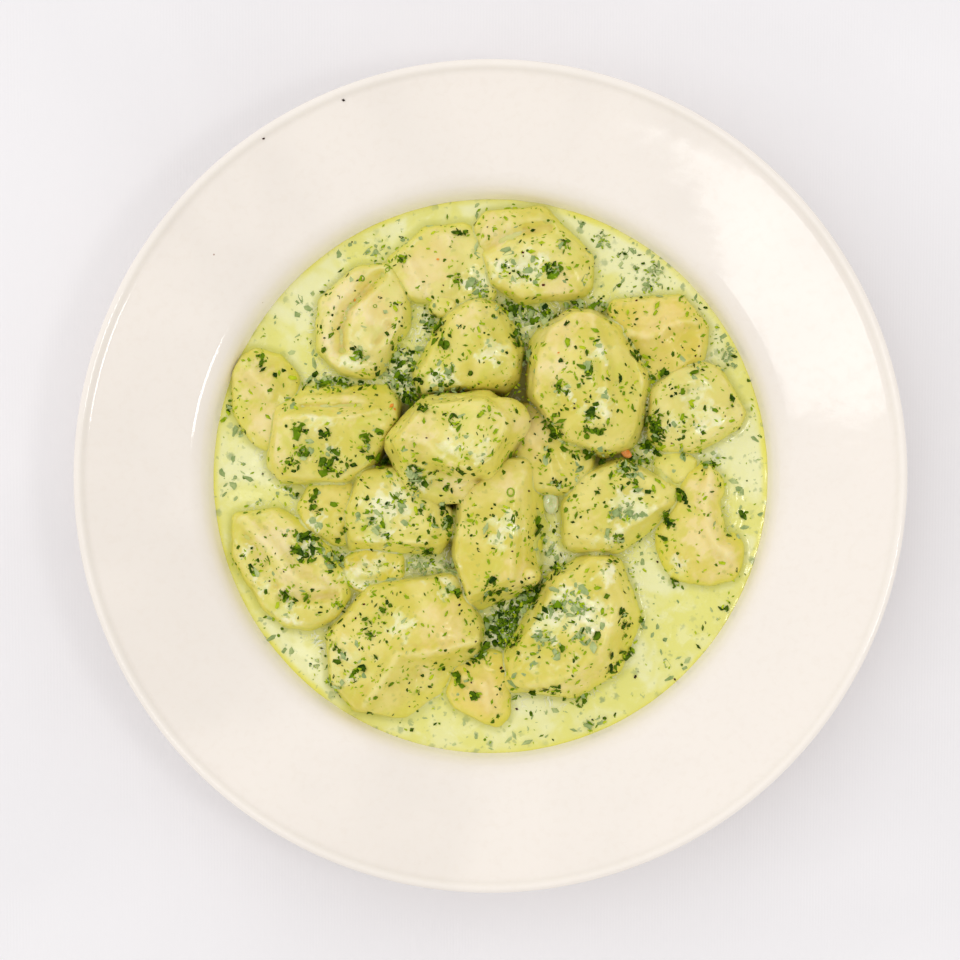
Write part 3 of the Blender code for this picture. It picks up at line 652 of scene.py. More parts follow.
# How each gnocco is cut and pressed, in millimetres from its middle and degrees about it.
# at, size, turn: middle, length, width and height of its block, and how far that is turned;
# golden: how golden its dough is, or how pale where it is below zero; rounds: how often it is smoothed;
# sides: where a side face looks, how far it leans back and how far out it lies;
# tops: where a top face falls away to, how steeply, and its height over the middle;
# lobes: middle and half sizes of a bulge;
# folds: path, width and height of a ridge, or of a groove where the height is below zero;
# dents: place, step and reach of one push of a finger.
SHAPES = {
    "gnocco_01_top_middle": dict(
        at=(-9.8, 8.8, 36.0), size=(46, 32, 21), turn=18, rounds=24,
        sides=[(95, 16, 12.8), (138, 16, 14.6), (182, 12, 18.8), (208, 18, 16.6), (262, 42, 13.0),
               (300, 32, 13.2), (330, 18, 13.8), (20, 14, 18.6), (55, 18, 16.6)],
        tops=[(80, 5, 8.9), (250, 6, 9.1)],
        lobes=[((13.2, 6.4, -3.2), (8.6, 7.0, 7.4))],
        folds=[([(-14, 1.5), (-7, -0.7), (-3.2, -4.3), (1.3, -7.4), (6, -8), (10.2, -6)], 2.4, 1.7),
               ([(-9, -5), (-4, -8), (1, -10.8), (7, -11)], 2.4, -1.5),
               ([(11, 12), (12, 7), (11, 1)], 3.0, -0.9)],
        dents=[((-4, -10.5), (0, 1.0, -2.2), 6), ((6, -12), (0, 0.8, -1.8), 5)]),
    "gnocco_02_large_right": dict(
        at=(28.0, 26.8, 24.3), size=(46, 36, 27), turn=110, golden=0.15, rounds=28,
        sides=[(28, 16, 17.6), (62, 12, 19.8), (92, 12, 21.6), (122, 14, 20.4), (150, 22, 19.6),
               (178, 14, 16.6), (215, 10, 16.2), (252, 10, 19.0), (288, 10, 22.4), (303, 10, 23.0),
               (318, 12, 22.4), (335, 12, 20.4), (350, 14, 18.6)],
        tops=[(20, 14, 13.6), (200, 10, 13.4)],
        folds=[([(1.9, 20.7), (3, 13.5), (5.5, 5), (6.4, -4), (5.5, -12)], 2.5, 1.6),
               ([(6, 20), (11, 13), (13.5, 5), (15, -4)], 2.4, -1.1),
               ([(10, 17), (15, 8), (17, 0)], 2.4, 0.7)],
        dents=[((-6, -6), (0, 0, -1.6), 7), ((-6, 13), (0, 0, -1.2), 8), ((0, 4), (0, 0, 0.8), 6)]),
    "gnocco_03_front_block": dict(
        at=(2.8, -18.0, 24.2), size=(50, 30, 24), turn=79, golden=0.25, rounds=16,
        sides=[(-4, 34, 12.2), (60, 12, 24.6), (86, 8, 23.6), (128, 12, 17.4), (174, 12, 13.2),
               (198, 10, 14.8), (246, 16, 22.4), (290, 26, 17.8), (320, 18, 17.0)],
        tops=[(176, 4, 10.8), (10, 2, 11.2)],
        lobes=[((9.4, -11.4, 2.2), (2.8, 2.8, 7.2)), ((7.6, 18.0, 2.2), (2.6, 2.8, 6.8))],
        folds=[([(8, 18), (8.5, 4), (8.5, -10)], 2.4, 0.8)],
        dents=[((-2, 2), (0, 0, -1.0), 8)]),
    "gnocco_04_back_middle": dict(
        at=(-5.6, 34.0, 21.6), size=(38, 37, 24), turn=65, rounds=20,
        sides=[(152, 26, 12.8), (25, 24, 15.4), (-12, 16, 15.0), (95, 14, 17.5), (200, 16, 17.2),
               (236, 14, 17.0), (272, 26, 11.4), (322, 18, 15.0), (60, 16, 17.6), (122, 22, 15.2)],
        tops=[(170, 20, 12.2), (20, 14, 12.4), (280, 14, 12.0)],
        folds=[([(2, 15), (4, 9), (6, 3)], 2.6, 1.2), ([(5, 4), (11, 0)], 2.2, 0.8)],
        dents=[((6, -4), (0, 0, 1.2), 5), ((-6, 2), (0, 0, -1.0), 6), ((10, 8), (0, 0, -1.0), 4)]),
    "gnocco_05_left_block": dict(
        at=(-45.4, 12.2, 21.8), size=(45, 31, 25), turn=9, rounds=14,
        sides=[(92, 12, 13.8), (125, 14, 16.6), (176, 20, 18.8), (218, 12, 21.2), (268, 14, 14.8),
               (300, 12, 14.4), (330, 14, 15.6), (2, 10, 19.8), (40, 12, 21.0)],
        tops=[(268, 12, 11.4), (92, 42, 14.6)],
        folds=[([(-13, 4.4), (-4, 4.6), (6, 4.8), (13, 6.5)], 2.0, 1.3),
               ([(-9, 7.6), (0, 7.4), (8, 7.8)], 1.7, -1.6),
               ([(-8, 10.4), (6, 10.6)], 1.7, 0.8)],
        dents=[((-4, -5), (0, 0, -0.9), 7), ((8, -4), (0, 0, 0.7), 5)]),
    "gnocco_06_large_front_right": dict(
        at=(24.4, -44.8, 21.4), size=(53, 33, 26), turn=51, golden=0.2, rounds=20,
        sides=[(150, 22, 13.6), (118, 16, 17.0), (92, 12, 21.2), (62, 12, 24.0), (20, 18, 19.6),
               (-22, 34, 16.6), (-58, 30, 17.0), (262, 14, 19.8), (228, 12, 26.6), (192, 14, 21.8)],
        tops=[(150, 6, 12.6), (330, 5, 12.4), (230, 6, 12.8)],
        lobes=[((-17.0, -15.2, -0.5), (4.6, 3.6, 7.4))],
        folds=[([(9, 17), (11.5, 5), (8, -6), (0, -13), (-12, -16)], 2.4, 0.9)],
        dents=[((-2, 4), (0, 0, -0.9), 6), ((3, -4), (0, 0, 0.6), 5), ((-10, -6), (0, 0, -0.8), 5)]),
    "gnocco_07_large_front_left": dict(
        at=(-25.8, -48.8, 20.4), size=(50, 40, 25), turn=33, golden=0.25, rounds=14,
        sides=[(98, 12, 17.8), (140, 14, 18.0), (184, 14, 21.4), (222, 12, 23.2), (262, 12, 21.6),
               (303, 50, 17.2), (350, 14, 23.0), (25, 10, 23.8), (62, 12, 25.0)],
        tops=[(135, 5, 11.6), (200, 7, 12.0)],
        lobes=[((-6.0, -17.0, -1.5), (6.5, 5.0, 7.0)), ((20.4, 0.8, 2.6), (3.6, 3.2, 6.2))],
        folds=[([(23, 1), (15, -2), (7, -3), (0, -3), (-3, -8), (-7, -14), (-10, -18)], 2.4, 1.8),
               ([(-2, 12), (-6, 2), (-7, -4)], 4.0, -0.7)],
        dents=[((5, -9), (-0.4, 0.8, -2.2), 5.5), ((13, -7), (0, 0.6, -1.6), 4.5),
               ((-1, -12), (0, 0, -1.4), 4)]),
    "gnocco_08_middle_wedge": dict(
        at=(-27.2, -12.0, 20.6), size=(34, 35, 23.6), turn=70, rounds=14,
        sides=[(268, 26, 10.4), (226, 14, 16.6), (190, 12, 15.2), (156, 16, 15.0), (95, 12, 15.0),
               (52, 14, 12.2), (10, 12, 16.8), (322, 14, 16.8)],
        tops=[(262, 7, 11.2), (80, 5, 11.4)],
        folds=[([(-11, -7), (-2, -8.5), (9, -8)], 2.0, 0.9), ([(-8, 8), (0, 5), (10, 4)], 3.0, 0.5)],
        dents=[((-3, -1), (0, 0, 0.7), 5), ((6, -3), (0, 0, -0.9), 5)]),
    "gnocco_09_far_lobed": dict(
        at=(12.8, 62.2, 19.3), size=(40, 30, 23), turn=152,
        sides=[(95, 14, 16.0), (118, 12, 19.6), (150, 12, 19.8), (196, 14, 13.8), (238, 14, 12.0),
               (276, 14, 11.4), (318, 16, 17.6), (0, 16, 17.4), (45, 22, 13.6)],
        tops=[(300, 6, 10.8), (130, 8, 10.8)],
        folds=[([(-14, 3.5), (-8, 6.5), (-2, 8.6), (5, 9.6)], 2.4, -2.0),
               ([(-8, 1), (0, 3.6), (9, 4)], 3.0, 0.9), ([(-13, 9), (-6, 12), (2, 13)], 2.6, 0.8)],
        dents=[((-3, -3), (0, 0, -1.9), 5.5), ((10, -4), (0, 0, 0.6), 6)]),
    "gnocco_10_right_of_middle": dict(
        at=(37.2, -8.6, 19.6), size=(41, 30, 23), turn=28, golden=-0.1,
        sides=[(62, 14, 12.8), (112, 14, 12.0), (148, 16, 13.8), (182, 12, 16.0), (214, 12, 19.4),
               (238, 12, 18.8), (266, 14, 14.4), (307, 30, 11.4), (348, 16, 17.2), (22, 16, 18.0)],
        tops=[(90, 7, 11.2), (230, 5, 11.4)],
        folds=[([(-12, -10), (-4, -10.5), (5, -6), (14, 0)], 2.2, 0.9),
               ([(-9, 6), (-2, 3), (6, 5)], 3.0, -0.7)],
        dents=[((-9, -8), (0, 0, 0.9), 4), ((3, 1), (0, 0, -0.8), 5)]),
    "gnocco_11_right_pointed": dict(
        at=(59.4, 19.4, 18.9), size=(38, 28, 22.6), turn=-14, golden=-0.5,
        sides=[(30, 16, 12.6), (72, 12, 13.6), (98, 12, 13.2), (128, 14, 12.2), (180, 14, 13.0),
               (232, 14, 15.0), (268, 14, 13.0), (300, 20, 11.4), (338, 14, 14.6)],
        tops=[(60, 8, 10.8), (240, 6, 10.8)],
        folds=[([(-9, -6), (-1, -3), (8, -1)], 3.0, 0.9), ([(-6, 6), (3, 8)], 2.6, 0.7)],
        dents=[((0, 3), (0, 0, -1.2), 5)]),
    "gnocco_12_far_right_block": dict(
        at=(49.8, 40.4, 19.3), size=(36, 29, 23), turn=-24, golden=0.8, rounds=16,
        sides=[(95, 14, 11.4), (140, 12, 17.0), (170, 14, 15.8), (212, 16, 9.8), (256, 60, 14.6),
               (300, 30, 13.4), (-8, 16, 13.6), (40, 14, 12.8)],
        tops=[(95, 4, 9.8), (200, 5, 10.4)],
        folds=[([(-9, 0.4), (-3.4, -0.5), (-0.6, 0.4), (1.7, 2.4), (5.9, 3.6), (9.6, 3.8)], 2.8, 2.0)],
        dents=[((0, -7), (0, 0, -1.8), 5), ((7, -4), (0, 0, -1.6), 5), ((-5, -7), (0, 0, -1.2), 4)]),
    "gnocco_13_left_bean": dict(
        at=(-37.6, 44.4, 19.0), size=(38, 30, 23), turn=66, golden=-0.7,
        sides=[(28, 16, 16.4), (60, 14, 18.8), (95, 14, 16.8), (130, 16, 13.4), (178, 14, 12.8),
               (222, 14, 14.6), (262, 14, 15.6), (295, 16, 15.8), (330, 24, 12.4), (0, 22, 14.0)],
        tops=[(25, 7, 11.0), (190, 6, 11.2)],
        folds=[([(6, 14), (1, 9), (-3.5, 4), (-5.5, -2), (-5, -8)], 2.5, -2.9),
               ([(-1, 14), (-7, 7), (-9.5, 0), (-9.5, -7), (-9, -11)], 2.8, 1.1),
               ([(3, 6), (1, -1), (4, -8)], 3.0, 0.9), ([(9, -1), (5, -6)], 1.8, -1.0),
               ([(-8, -12), (3, -13.5)], 2.2, 0.9)],
        dents=[]),
    "gnocco_14_right_bent": dict(
        at=(61.6, -14.4, 18.3), size=(40, 26, 21), turn=98, golden=0.4,
        sides=[(155, 34, 10.4), (180, 24, 12.6), (215, 16, 15.6), (262, 14, 17.0), (310, 16, 17.2),
               (350, 14, 6.8), (12, 10, 6.4), (60, 14, 16.4), (85, 14, 17.8), (115, 20, 15.6)],
        tops=[(60, 6, 10.2)],
        lobes=[((6.4, -7.8, 0.0), (7.2, 7.2, 10.2)), ((4.6, -11.6, 0.0), (8.2, 6.6, 9.8)),
               ((2.6, 10.5, 0.6), (4.6, 6.6, 9.0))],
        folds=[([(3, 15), (1, 7), (1.4, -1), (5, -7), (9, -9.5)], 2.6, 1.6),
               ([(5, 8), (5, 1), (8, -3)], 2.0, -0.9)],
        dents=[((-6, -4), (0, 0, -0.8), 6)]),
    "gnocco_15_front_left_long": dict(
        at=(-59.2, -28.2, 18.9), size=(47, 30, 22.6), turn=130,
        sides=[(60, 22, 14.4), (35, 20, 14.0), (5, 14, 17.8), (330, 12, 19.6), (296, 14, 18.4),
               (262, 14, 15.8), (232, 16, 12.6), (210, 18, 11.4), (180, 14, 15.8), (132, 12, 22.4),
               (98, 14, 18.6)],
        tops=[(50, 10, 10.8), (220, 9, 10.6)],
        lobes=[((7.5, -11.2, 0.0), (8.6, 4.6, 8.2))],
        folds=[([(-12, 16), (-8, 11), (-3, 6), (1, 0), (5, -3), (11, -4.5)], 2.8, 1.7),
               ([(-11, 10), (-7, 3), (-2.5, -4)], 2.6, -1.5), ([(-1, -7.5), (6, -8), (14, -7)], 2.2, -1.8)],
        dents=[((5, 6), (0, 0, -1.0), 5)]),
    "gnocco_16_far_left_leaning": dict(
        at=(-66.2, 23.4, 18.2), size=(34, 24, 20), turn=95,
        sides=[(75, 14, 12.6), (40, 14, 11.4), (120, 14, 13.0), (150, 14, 11.2), (180, 18, 8.8),
               (215, 16, 10.2), (245, 12, 14.0), (272, 12, 16.2), (320, 12, 12.4), (0, 12, 10.0)],
        tops=[(205, 12, 9.8)],
        folds=[([(-5, 9), (-1.5, 4), (2.5, 0)], 2.6, 1.4), ([(3, 8), (6, 3)], 2.2, -0.8)],
        dents=[]),
    "gnocco_17_small_left": dict(
        at=(-46.2, -10.8, 18.4), size=(22, 20.5, 20.4), turn=20, golden=0.3,
        sides=[(0, 12, 11.4), (45, 14, 12.6), (100, 14, 8.8), (150, 14, 9.4), (200, 14, 8.6),
               (245, 14, 8.2), (285, 14, 10.2), (325, 14, 11.2)],
        tops=[(200, 8, 10.0)], folds=[([(-4, 3), (1, 0), (2, -6)], 2.4, 0.9)], dents=[]),
    "gnocco_18_far_half_sunk": dict(
        at=(-17.0, 61.2, 18.3), size=(43, 29, 21), turn=-10, golden=-0.5,
        sides=[(95, 22, 11.4), (62, 16, 15.4), (130, 28, 9.4), (175, 18, 12.8), (215, 16, 10.8),
               (262, 14, 10.4), (305, 14, 18.8), (340, 14, 20.4), (20, 14, 17.8)],
        tops=[(150, 11, 9.6), (330, 9, 9.8)],
        folds=[([(-8, 3), (-5, -2), (-3, -7)], 2.4, 1.2), ([(5, 8), (7, 1), (5, -7)], 3.0, 0.7)],
        dents=[((0, 4), (0, 0, -0.9), 5)]),
    "gnocco_19_under_the_heap": dict(
        at=(18.0, 4.6, 19.2), size=(37, 28, 22), turn=125, golden=0.2,
        sides=[(0, 14, 12.6), (45, 14, 12.0), (90, 14, 16.4), (135, 12, 20.6), (180, 14, 13.6),
               (225, 14, 13.0), (270, 18, 10.4), (315, 18, 11.6)],
        tops=[(300, 12, 11.6)], folds=[([(-8, 8), (-2, 1), (1, -6)], 2.6, 1.0)], dents=[]),
    "gnocco_20_front_half_sunk": dict(
        at=(-2.9, -61.0, 17.6), size=(28, 24, 19.6), turn=75, golden=0.9,
        sides=[(0, 16, 8.8), (35, 14, 10.6), (75, 12, 10.4), (115, 14, 7.8), (165, 14, 8.4), (205, 16, 9.4),
               (245, 16, 9.0), (290, 12, 13.6), (325, 14, 12.2)],
        tops=[(250, 12, 9.6)],
        folds=[([(-4, 2), (1, 0), (3, -7)], 2.4, 1.1)],
        dents=[((4, 3), (0, 0, -0.8), 4)]),
    "gnocco_21_sunk_front_left": dict(
        at=(-33.8, -28.2, 17.6), size=(26, 18, 18.8), turn=5, golden=0.9,
        sides=[(60, 14, 8.4), (120, 14, 7.4), (180, 14, 8.6), (240, 14, 7.0), (300, 14, 6.0), (0, 14, 8.6)],
        tops=[(20, 8, 8.0)],
        folds=[([(-6, 2), (-2, -1), (4, 1)], 1.8, 1.1), ([(-4, -3), (5, -3)], 1.8, -0.9)],
        dents=[]),
    "gnocco_22_sunk_back": dict(
        at=(-14.0, 48.4, 17.9), size=(15, 13, 19.0), turn=0,
        sides=[(0, 12, 4.8), (60, 12, 5.0), (120, 12, 4.4), (180, 12, 3.2), (240, 12, 2.2), (300, 12, 2.4)],
        tops=[(200, 6, 9.2)], folds=[], dents=[]),
    "gnocco_23_sunk_right": dict(
        at=(55.0, 1.0, 17.3), size=(20, 14, 17.6), turn=20, golden=-0.2,
        sides=[(0, 12, 5.4), (60, 12, 5.6), (120, 12, 6.2), (180, 12, 7.0), (240, 12, 3.6), (300, 12, 3.4)],
        tops=[(30, 6, 8.6)], folds=[], dents=[]),
}

# A block is taken this much wider and higher than the gnocco that is cut from it.
SPARE_WIDTH = 1.22
SPARE_HEIGHT = 1.06
# Side faces are measured just over the sauce, or at the middle of a gnocco that lies higher.
SIDE_MARK = SAUCE_LEVEL + 1.6
# Smoothing draws a piece in, and more so with each round, so it gets this much back.
SKIN = 0.15
SKIN_PER_ROUND = 0.012
# Size of the faces of a gnocco's skin.
DOUGH_GRAIN = 0.6
# Room that is left between the dough and the plate.
FLOOR_ROOM = 0.3
WALL_ROOM = 0.4


def block(name, at, size, turn):
    """Rounded block of dough at its place, before it is cut."""
    bpy.ops.mesh.primitive_uv_sphere_add(
        segments=32, ring_count=20, radius=0.5 * MM, location=Vector(at) * MM,
        rotation=(0, 0, math.radians(turn)),
        scale=(size[0] * SPARE_WIDTH, size[1] * SPARE_WIDTH, size[2] * SPARE_HEIGHT))
    piece = bpy.context.object
    piece.name = name
    settle(piece)
    return piece


def facing(turn, rise):
    """Unit step that looks to a turn about the upright, and up by rise, both in degrees."""
    turn, rise = math.radians(turn), math.radians(rise)
    return Vector((math.cos(turn) * math.cos(rise), math.sin(turn) * math.cos(rise), math.sin(rise)))


def slice_off(piece, point, outward):
    """Cuts off what lies on the outward side of a plane and closes the cut, in edit mode."""
    bpy.ops.mesh.select_all(action="SELECT")
    bpy.ops.mesh.bisect(plane_co=point, plane_no=outward, clear_outer=True, use_fill=True)


def distance_to_path(flat, path):
    """How far each flat place lies from a path of straight steps."""
    nearest = np.full(len(flat), np.inf)
    for start, end in zip(path, path[1:]):
        start, run = np.array(start), np.subtract(end, start)
        share = np.clip((flat - start) @ run / (run @ run), 0, 1)
        nearest = np.minimum(nearest, np.linalg.norm(flat - start - share[:, None] * run, axis=1))
    return nearest


def fold(piece, middle, path, width, height):
    """Raises a ridge, or sinks a groove, along a path on the upper side."""
    flat = points_of(piece)[:, :2] / MM - middle[:2]
    upper = normals_of(piece)[:, 2] > 0.1
    shift_points(piece, (distance_to_path(flat, path) < 0.45) & upper, (0, 0, height), reach=width)


def dent(piece, middle, place, step, reach):
    """Pushes the upper side at one place by a step."""
    places = points_of(piece) / MM - middle
    near = np.linalg.norm(places[:, :2] - place, axis=1) < 0.9
    upper = places[:, 2] > places[near][:, 2].max() - 1.5
    shift_points(piece, near & upper, step, reach=reach)


def rest_in_well(piece):
    """Draws in what would reach through the plate, until it lies just inside the well."""
    radii, heights = np.array([*well_corner(14), SHOULDER]).T
    places = points_of(piece) / MM
    places[:, 2] = np.maximum(places[:, 2], FLOOR_TOP + FLOOR_ROOM)
    room = np.interp(places[:, 2], heights, radii) - WALL_ROOM
    places[:, :2] *= np.minimum(1.0, room / np.linalg.norm(places[:, :2], axis=1))[:, None]
    piece.data.vertices.foreach_set("co", (places * MM).ravel())
    piece.data.update()


def gnocco(node, at, size, turn, sides, tops, folds, dents, lobes=(), rounds=20, golden=0.0):
    """Cuts one gnocco from its block, rounds it off and presses its folds and dents."""
    piece = block(node.replace("gnocco_", "dough_"), at, size, turn)
    middle = Vector(at)
    to_mark = Vector((0, 0, max(0.0, SIDE_MARK - middle.z)))
    edit(piece)
    for side, lean, reach in sides:
        slice_off(piece, (middle + facing(side, 0) * reach + to_mark) * MM, facing(side, lean))
    for side, fall, height in tops:
        slice_off(piece, (middle + Vector((0, 0, height))) * MM, facing(side, 90 - fall))
    for place, radii in lobes:
        bpy.ops.mesh.primitive_uv_sphere_add(
            segments=24, ring_count=16, radius=MM, location=(middle + Vector(place)) * MM, scale=radii)
    leave_edit()
    clay(piece, DOUGH_GRAIN)
    soften(piece, rounds)
    finish_modifiers(piece)
    edit(piece)
    bpy.ops.transform.shrink_fatten(value=(SKIN + SKIN_PER_ROUND * rounds) * MM)
    leave_edit()
    for path, width, height in folds:
        fold(piece, np.array(at), path, width, height)
    for place, step, reach in dents:
        dent(piece, np.array(at), place, step, reach)
    soften(piece, 4)
    displace(piece, LUMPS, 1.1)
    displace(piece, WRINKLES, 0.22)
    finish_modifiers(piece)
    rest_in_well(piece)
    mark(piece, "golden", np.full(len(piece.data.vertices), golden))
    piece.data.shade_smooth()
    return piece


# ---------------------------------------------------------------- sauce

# Below this height the sauce is plain, because the plate hides it.
SAUCE_CUT = 18.0
SAUCE_GRAIN = 0.75
# How far each gnocco is drawn in before the sauce takes its shape, so that the dough stands proud.
DOUGH_DRAWN_IN = 0.35
# Ripples where cream has dried to a skin between two gnocchi: path, width and height.
RIPPLES = [
    ([(-24, -25.5), (-20, -27), (-16, -26.2), (-12, -28.5), (-8, -28)], 1.3, 1.0),
    ([(-22, -28.5), (-18, -29.5), (-14, -28.8)], 1.0, -0.8),
    ([(-28, 38), (-25, 39), (-22, 37), (-19, 38.5)], 1.3, 0.9),
    ([(-30, 33), (-26, 31), (-23, 33)], 1.2, 0.8),
    ([(14, -10), (16, -15), (13.5, -20), (15, -26)], 1.4, 0.9),
    ([(8, 40), (9, 35), (7.5, 31)], 1.3, 0.9),
    ([(44, 4), (49, 1.5), (53, -4)], 1.4, 0.9),
    ([(70, -20), (72, -10), (71, 0)], 2.4, 0.5),
]


def sauce(gnocchi):
    """Sauce that fills the well and creeps into the creases between the gnocchi."""
    cut_radius = wall_radius(SAUCE_CUT) + 0.5
    edge_radius = wall_radius(SAUCE_LEVEL) + 1.2
    outline = [(0.0, 12.0), (cut_radius, 12.0), (cut_radius, SAUCE_CUT), (edge_radius, SAUCE_LEVEL)]
    for ring in range(1, SAUCE_RINGS + 1):
        outwards = 1 - ring / SAUCE_RINGS
        outline.append((edge_radius * outwards, SAUCE_LEVEL + SAUCE_CROWN * (1 - outwards * outwards)))
    pool = spin_outline("sauce_pool", outline, SAUCE_TURN_STEPS)
    copies = []
    # The first gnocco lies on top of the heap, clear of the sauce.
    for piece in gnocchi[1:]:
        copy = bpy.data.objects.new("under_" + piece.name, piece.data.copy())
        bpy.context.scene.collection.objects.link(copy)
        edit(copy)
        bpy.ops.transform.shrink_fatten(value=-DOUGH_DRAWN_IN * MM)
        leave_edit()
        copies.append(copy)
    join([pool, *copies])
    clay(pool, SAUCE_GRAIN)
    soften(pool, 14)
    finish_modifiers(pool)
    edit(pool)
    bpy.ops.mesh.bisect(
        plane_co=(0, 0, SAUCE_CUT * MM), plane_no=(0, 0, 1), clear_inner=True, use_fill=True)
    last_radius, last_height = cut_radius, SAUCE_CUT
    for radius, height in reversed(well_corner(5)):
        down, inwards = (0, 0, (height - last_height) * MM), radius / last_radius
        bpy.ops.mesh.extrude_region_move(TRANSFORM_OT_translate={"value": down})
        bpy.ops.transform.resize(value=(inwards, inwards, 1), center_override=(0, 0, 0))
        last_radius, last_height = radius, height
    leave_edit()
    for path, width, height in RIPPLES:
        fold(pool, np.zeros(3), path, width, height)
    soften(pool, 1)
    displace(pool, LUMPS, 0.5)
    finish_modifiers(pool)
    pool.data.shade_smooth()
    return pool


# ---------------------------------------------------------------- hollows

class Relief:
    """Height of the uppermost surface over a square, in millimetres, smoothed by a blur in millimetres."""

    def __init__(self, reach, step, blur):
        self.reach, self.step = reach, step
        graph = bpy.context.evaluated_depsgraph_get()
        marks = np.arange(-reach, reach + step / 2, step)
        heights = np.array([[self.height(graph, across, along) for along in marks] for across in marks])
        weights = np.exp(-0.5 * (np.arange(-3 * blur, 3 * blur + step / 2, step) / blur) ** 2)
        weights /= weights.sum()
        self.smooth = heights
        for turn in range(2):
            edged = [np.pad(row, len(weights) // 2, "edge") for row in self.smooth]
            self.smooth = np.array([np.convolve(row, weights, "valid") for row in edged]).T

    @staticmethod
    def height(graph, across, along):
        hit, place, _, _ = straight_down(graph, across, along)
        return place.z / MM if hit else 0.0

    def depth(self, places):
        """How far places, in millimetres, lie below the smoothed relief."""
        spots = np.clip((places[:, :2] + self.reach) / self.step, 0, len(self.smooth) - 1.001)
        corner = spots.astype(int)
        share = spots - corner
        column, row = corner[:, 0], corner[:, 1]
        near, far = (
            self.smooth[side, row] * (1 - share[:, 1]) + self.smooth[side, row + 1] * share[:, 1]
            for side in (column, column + 1))
        return near * (1 - share[:, 0]) + far * share[:, 0] - places[:, 2]


# Where the cream has pooled (above zero) and where it has run off and left the dough bare (below zero):
# place and reach in millimetres, and how much of it there is.
# On the dough, pooled cream is also painted partly as a highlight.
CREAM = [
    (12, 59.5, 6, 0.9), (5, 61.5, 4, 1.0), (14, 60.5, 3, 0.8), (-3, 57, 4, 1.1), (0.8, 35, 3.4, 1.2),
    (-13, 27, 5, 0.9), (22.6, 23.6, 2.6, 1.2), (33, 34.5, 2.6, 0.9), (34, 23, 1.8, 0.9),
    (34, 18.5, 2.2, 0.9), (29.5, 18, 3, 0.7), (-8.5, 7.5, 5, 0.6), (-1, 6, 3.4, 0.7), (5, -15, 4, 1.1),
    (3, -20, 3, 0.7), (40, -9, 5, 1.1), (37, -18, 3, 0.8), (45, -11, 4, 0.7), (30.5, -18.5, 3, 0.6),
    (22.5, -37, 5, 1.2), (17, -43, 5, 1.1), (29, -41, 6, 0.9), (34.5, -28.5, 3.6, 0.9), (14, -54, 5, 0.5),
    (25, -55, 4, 0.5), (-31.5, -17, 3.6, 1.2), (-27, -8, 5, 1.1), (-33, -10, 5, 0.6),
    (-50, -13.5, 2.6, 1.2), (-65.5, -31.5, 3, 0.9), (-58.5, -40.5, 3.6, 1.0), (-70.5, -22, 2.6, 0.7),
    (-53, -21.5, 3.6, 0.9), (-25, -44, 4, 0.8), (-11.5, -33.5, 2.6, 1.0), (-40.5, 31.5, 4, 0.8),
    (-39, 41, 5, 0.5), (-51, 15.8, 3, 0.8), (-46, 16, 3, 0.6), (-44.5, 6.5, 2.2, 0.9), (-19, -2, 3, 0.8),
    (63.5, 16, 4.4, 1.0), (60, 24, 5, 0.6), (54, 14.5, 2.6, 0.9), (49, 45, 3, 0.4), (-20, -27, 3.6, 1.2),
    (-12, -28, 3, 1.2), (-77, -4, 12, 0.5), (-70, 5, 8, 0.4), (48, 64, 12, 0.4), (-50, 60, 10, 0.4),
    (-58, 48, 8, 0.4), (40, 59, 7, 0.4), (56, -28, 5, 0.7), (-42, -55, 8, 0.5), (-28, 70, 8, 0.4),
    (9, -41, 4, 0.8), (4, -44, 3, 0.8), (12, 45, 3, 0.7), (-26, 31, 4, 0.8), (-40, 51, 8, -1.0),
    (-31, 46, 5, -0.8), (-45, 38, 4, -0.9), (-19, 60, 7, -1.1), (-14, 66, 5, -0.8), (-68, 27, 6, -0.9),
    (-66, 15, 6, -0.9), (63, -18, 6, -1.2), (63, -5, 5, -1.0), (70, -24, 4, -0.9), (-63, -19, 6, -0.9),
    (-56, -30, 6, -0.9), (-47, -33, 4, -0.8), (-13, -44, 8, -0.8), (-18, -57, 5, -0.4), (-38, -30, 5, 1.1),
    (-32, -27, 4, 0.7), (51, 45, 6, -1.0), (44, 42, 4, -0.6), (20, 41, 6, -0.9), (17, 29, 6, -0.8),
    (30, 46, 4, -1.0), (-1, -65, 6, -1.1), (6, -4, 5, -0.6), (8, -29, 5, -0.7), (13, 12, 6, -1.1),
    (20, 54, 6, -0.8), (2, 71, 6, -0.8), (-20, 12, 6, -0.7), (-8, -3, 6, -0.8), (5, 17, 4, -0.7),
    (-40, 20, 6, -0.7), (-62, 6, 4, -0.7), (30, -14, 4, -0.5), (-5, 45, 5, -0.7), (64, -40, 14, -0.9),
    (32, -68, 14, -0.8), (-12, -74, 12, -0.6),
]


def cream_at(places):
    """How thick the cream lies at places in millimetres: 1 where it has pooled, -1 where it has run off."""
    ragged = places[:, :2].copy()
    for length, height in ((5.3, 1.3), (2.9, 0.9), (1.7, 0.5)):
        ragged += height * np.sin(ragged[:, ::-1] * (math.tau / length) + (length, 2.0 * length))
    thickness = np.zeros(len(places))
    for across, along, reach, amount in CREAM:
        near = ((ragged[:, 0] - across) ** 2 + (ragged[:, 1] - along) ** 2) / reach ** 2
        thickness += amount * np.exp(-near * near)
    return np.clip(thickness, -1.0, 1.0)


def mark(piece, label, values):
    """Stores one value on each point of a piece, for its material."""
    piece.data.attributes.new(label, "FLOAT", "POINT").data.foreach_set("value", values)


def distance_to_dough(places, gnocchi):
    """How far each place, in millimetres, lies from the nearest gnocco."""
    skins = np.concatenate([points_of(piece)[::2] for piece in gnocchi])
    tree = kdtree.KDTree(len(skins))
    for number, place in enumerate(skins.tolist()):
        tree.insert(place, number)
    tree.balance()
    return np.array([tree.find(place)[2] for place in (places * MM).tolist()]) / MM


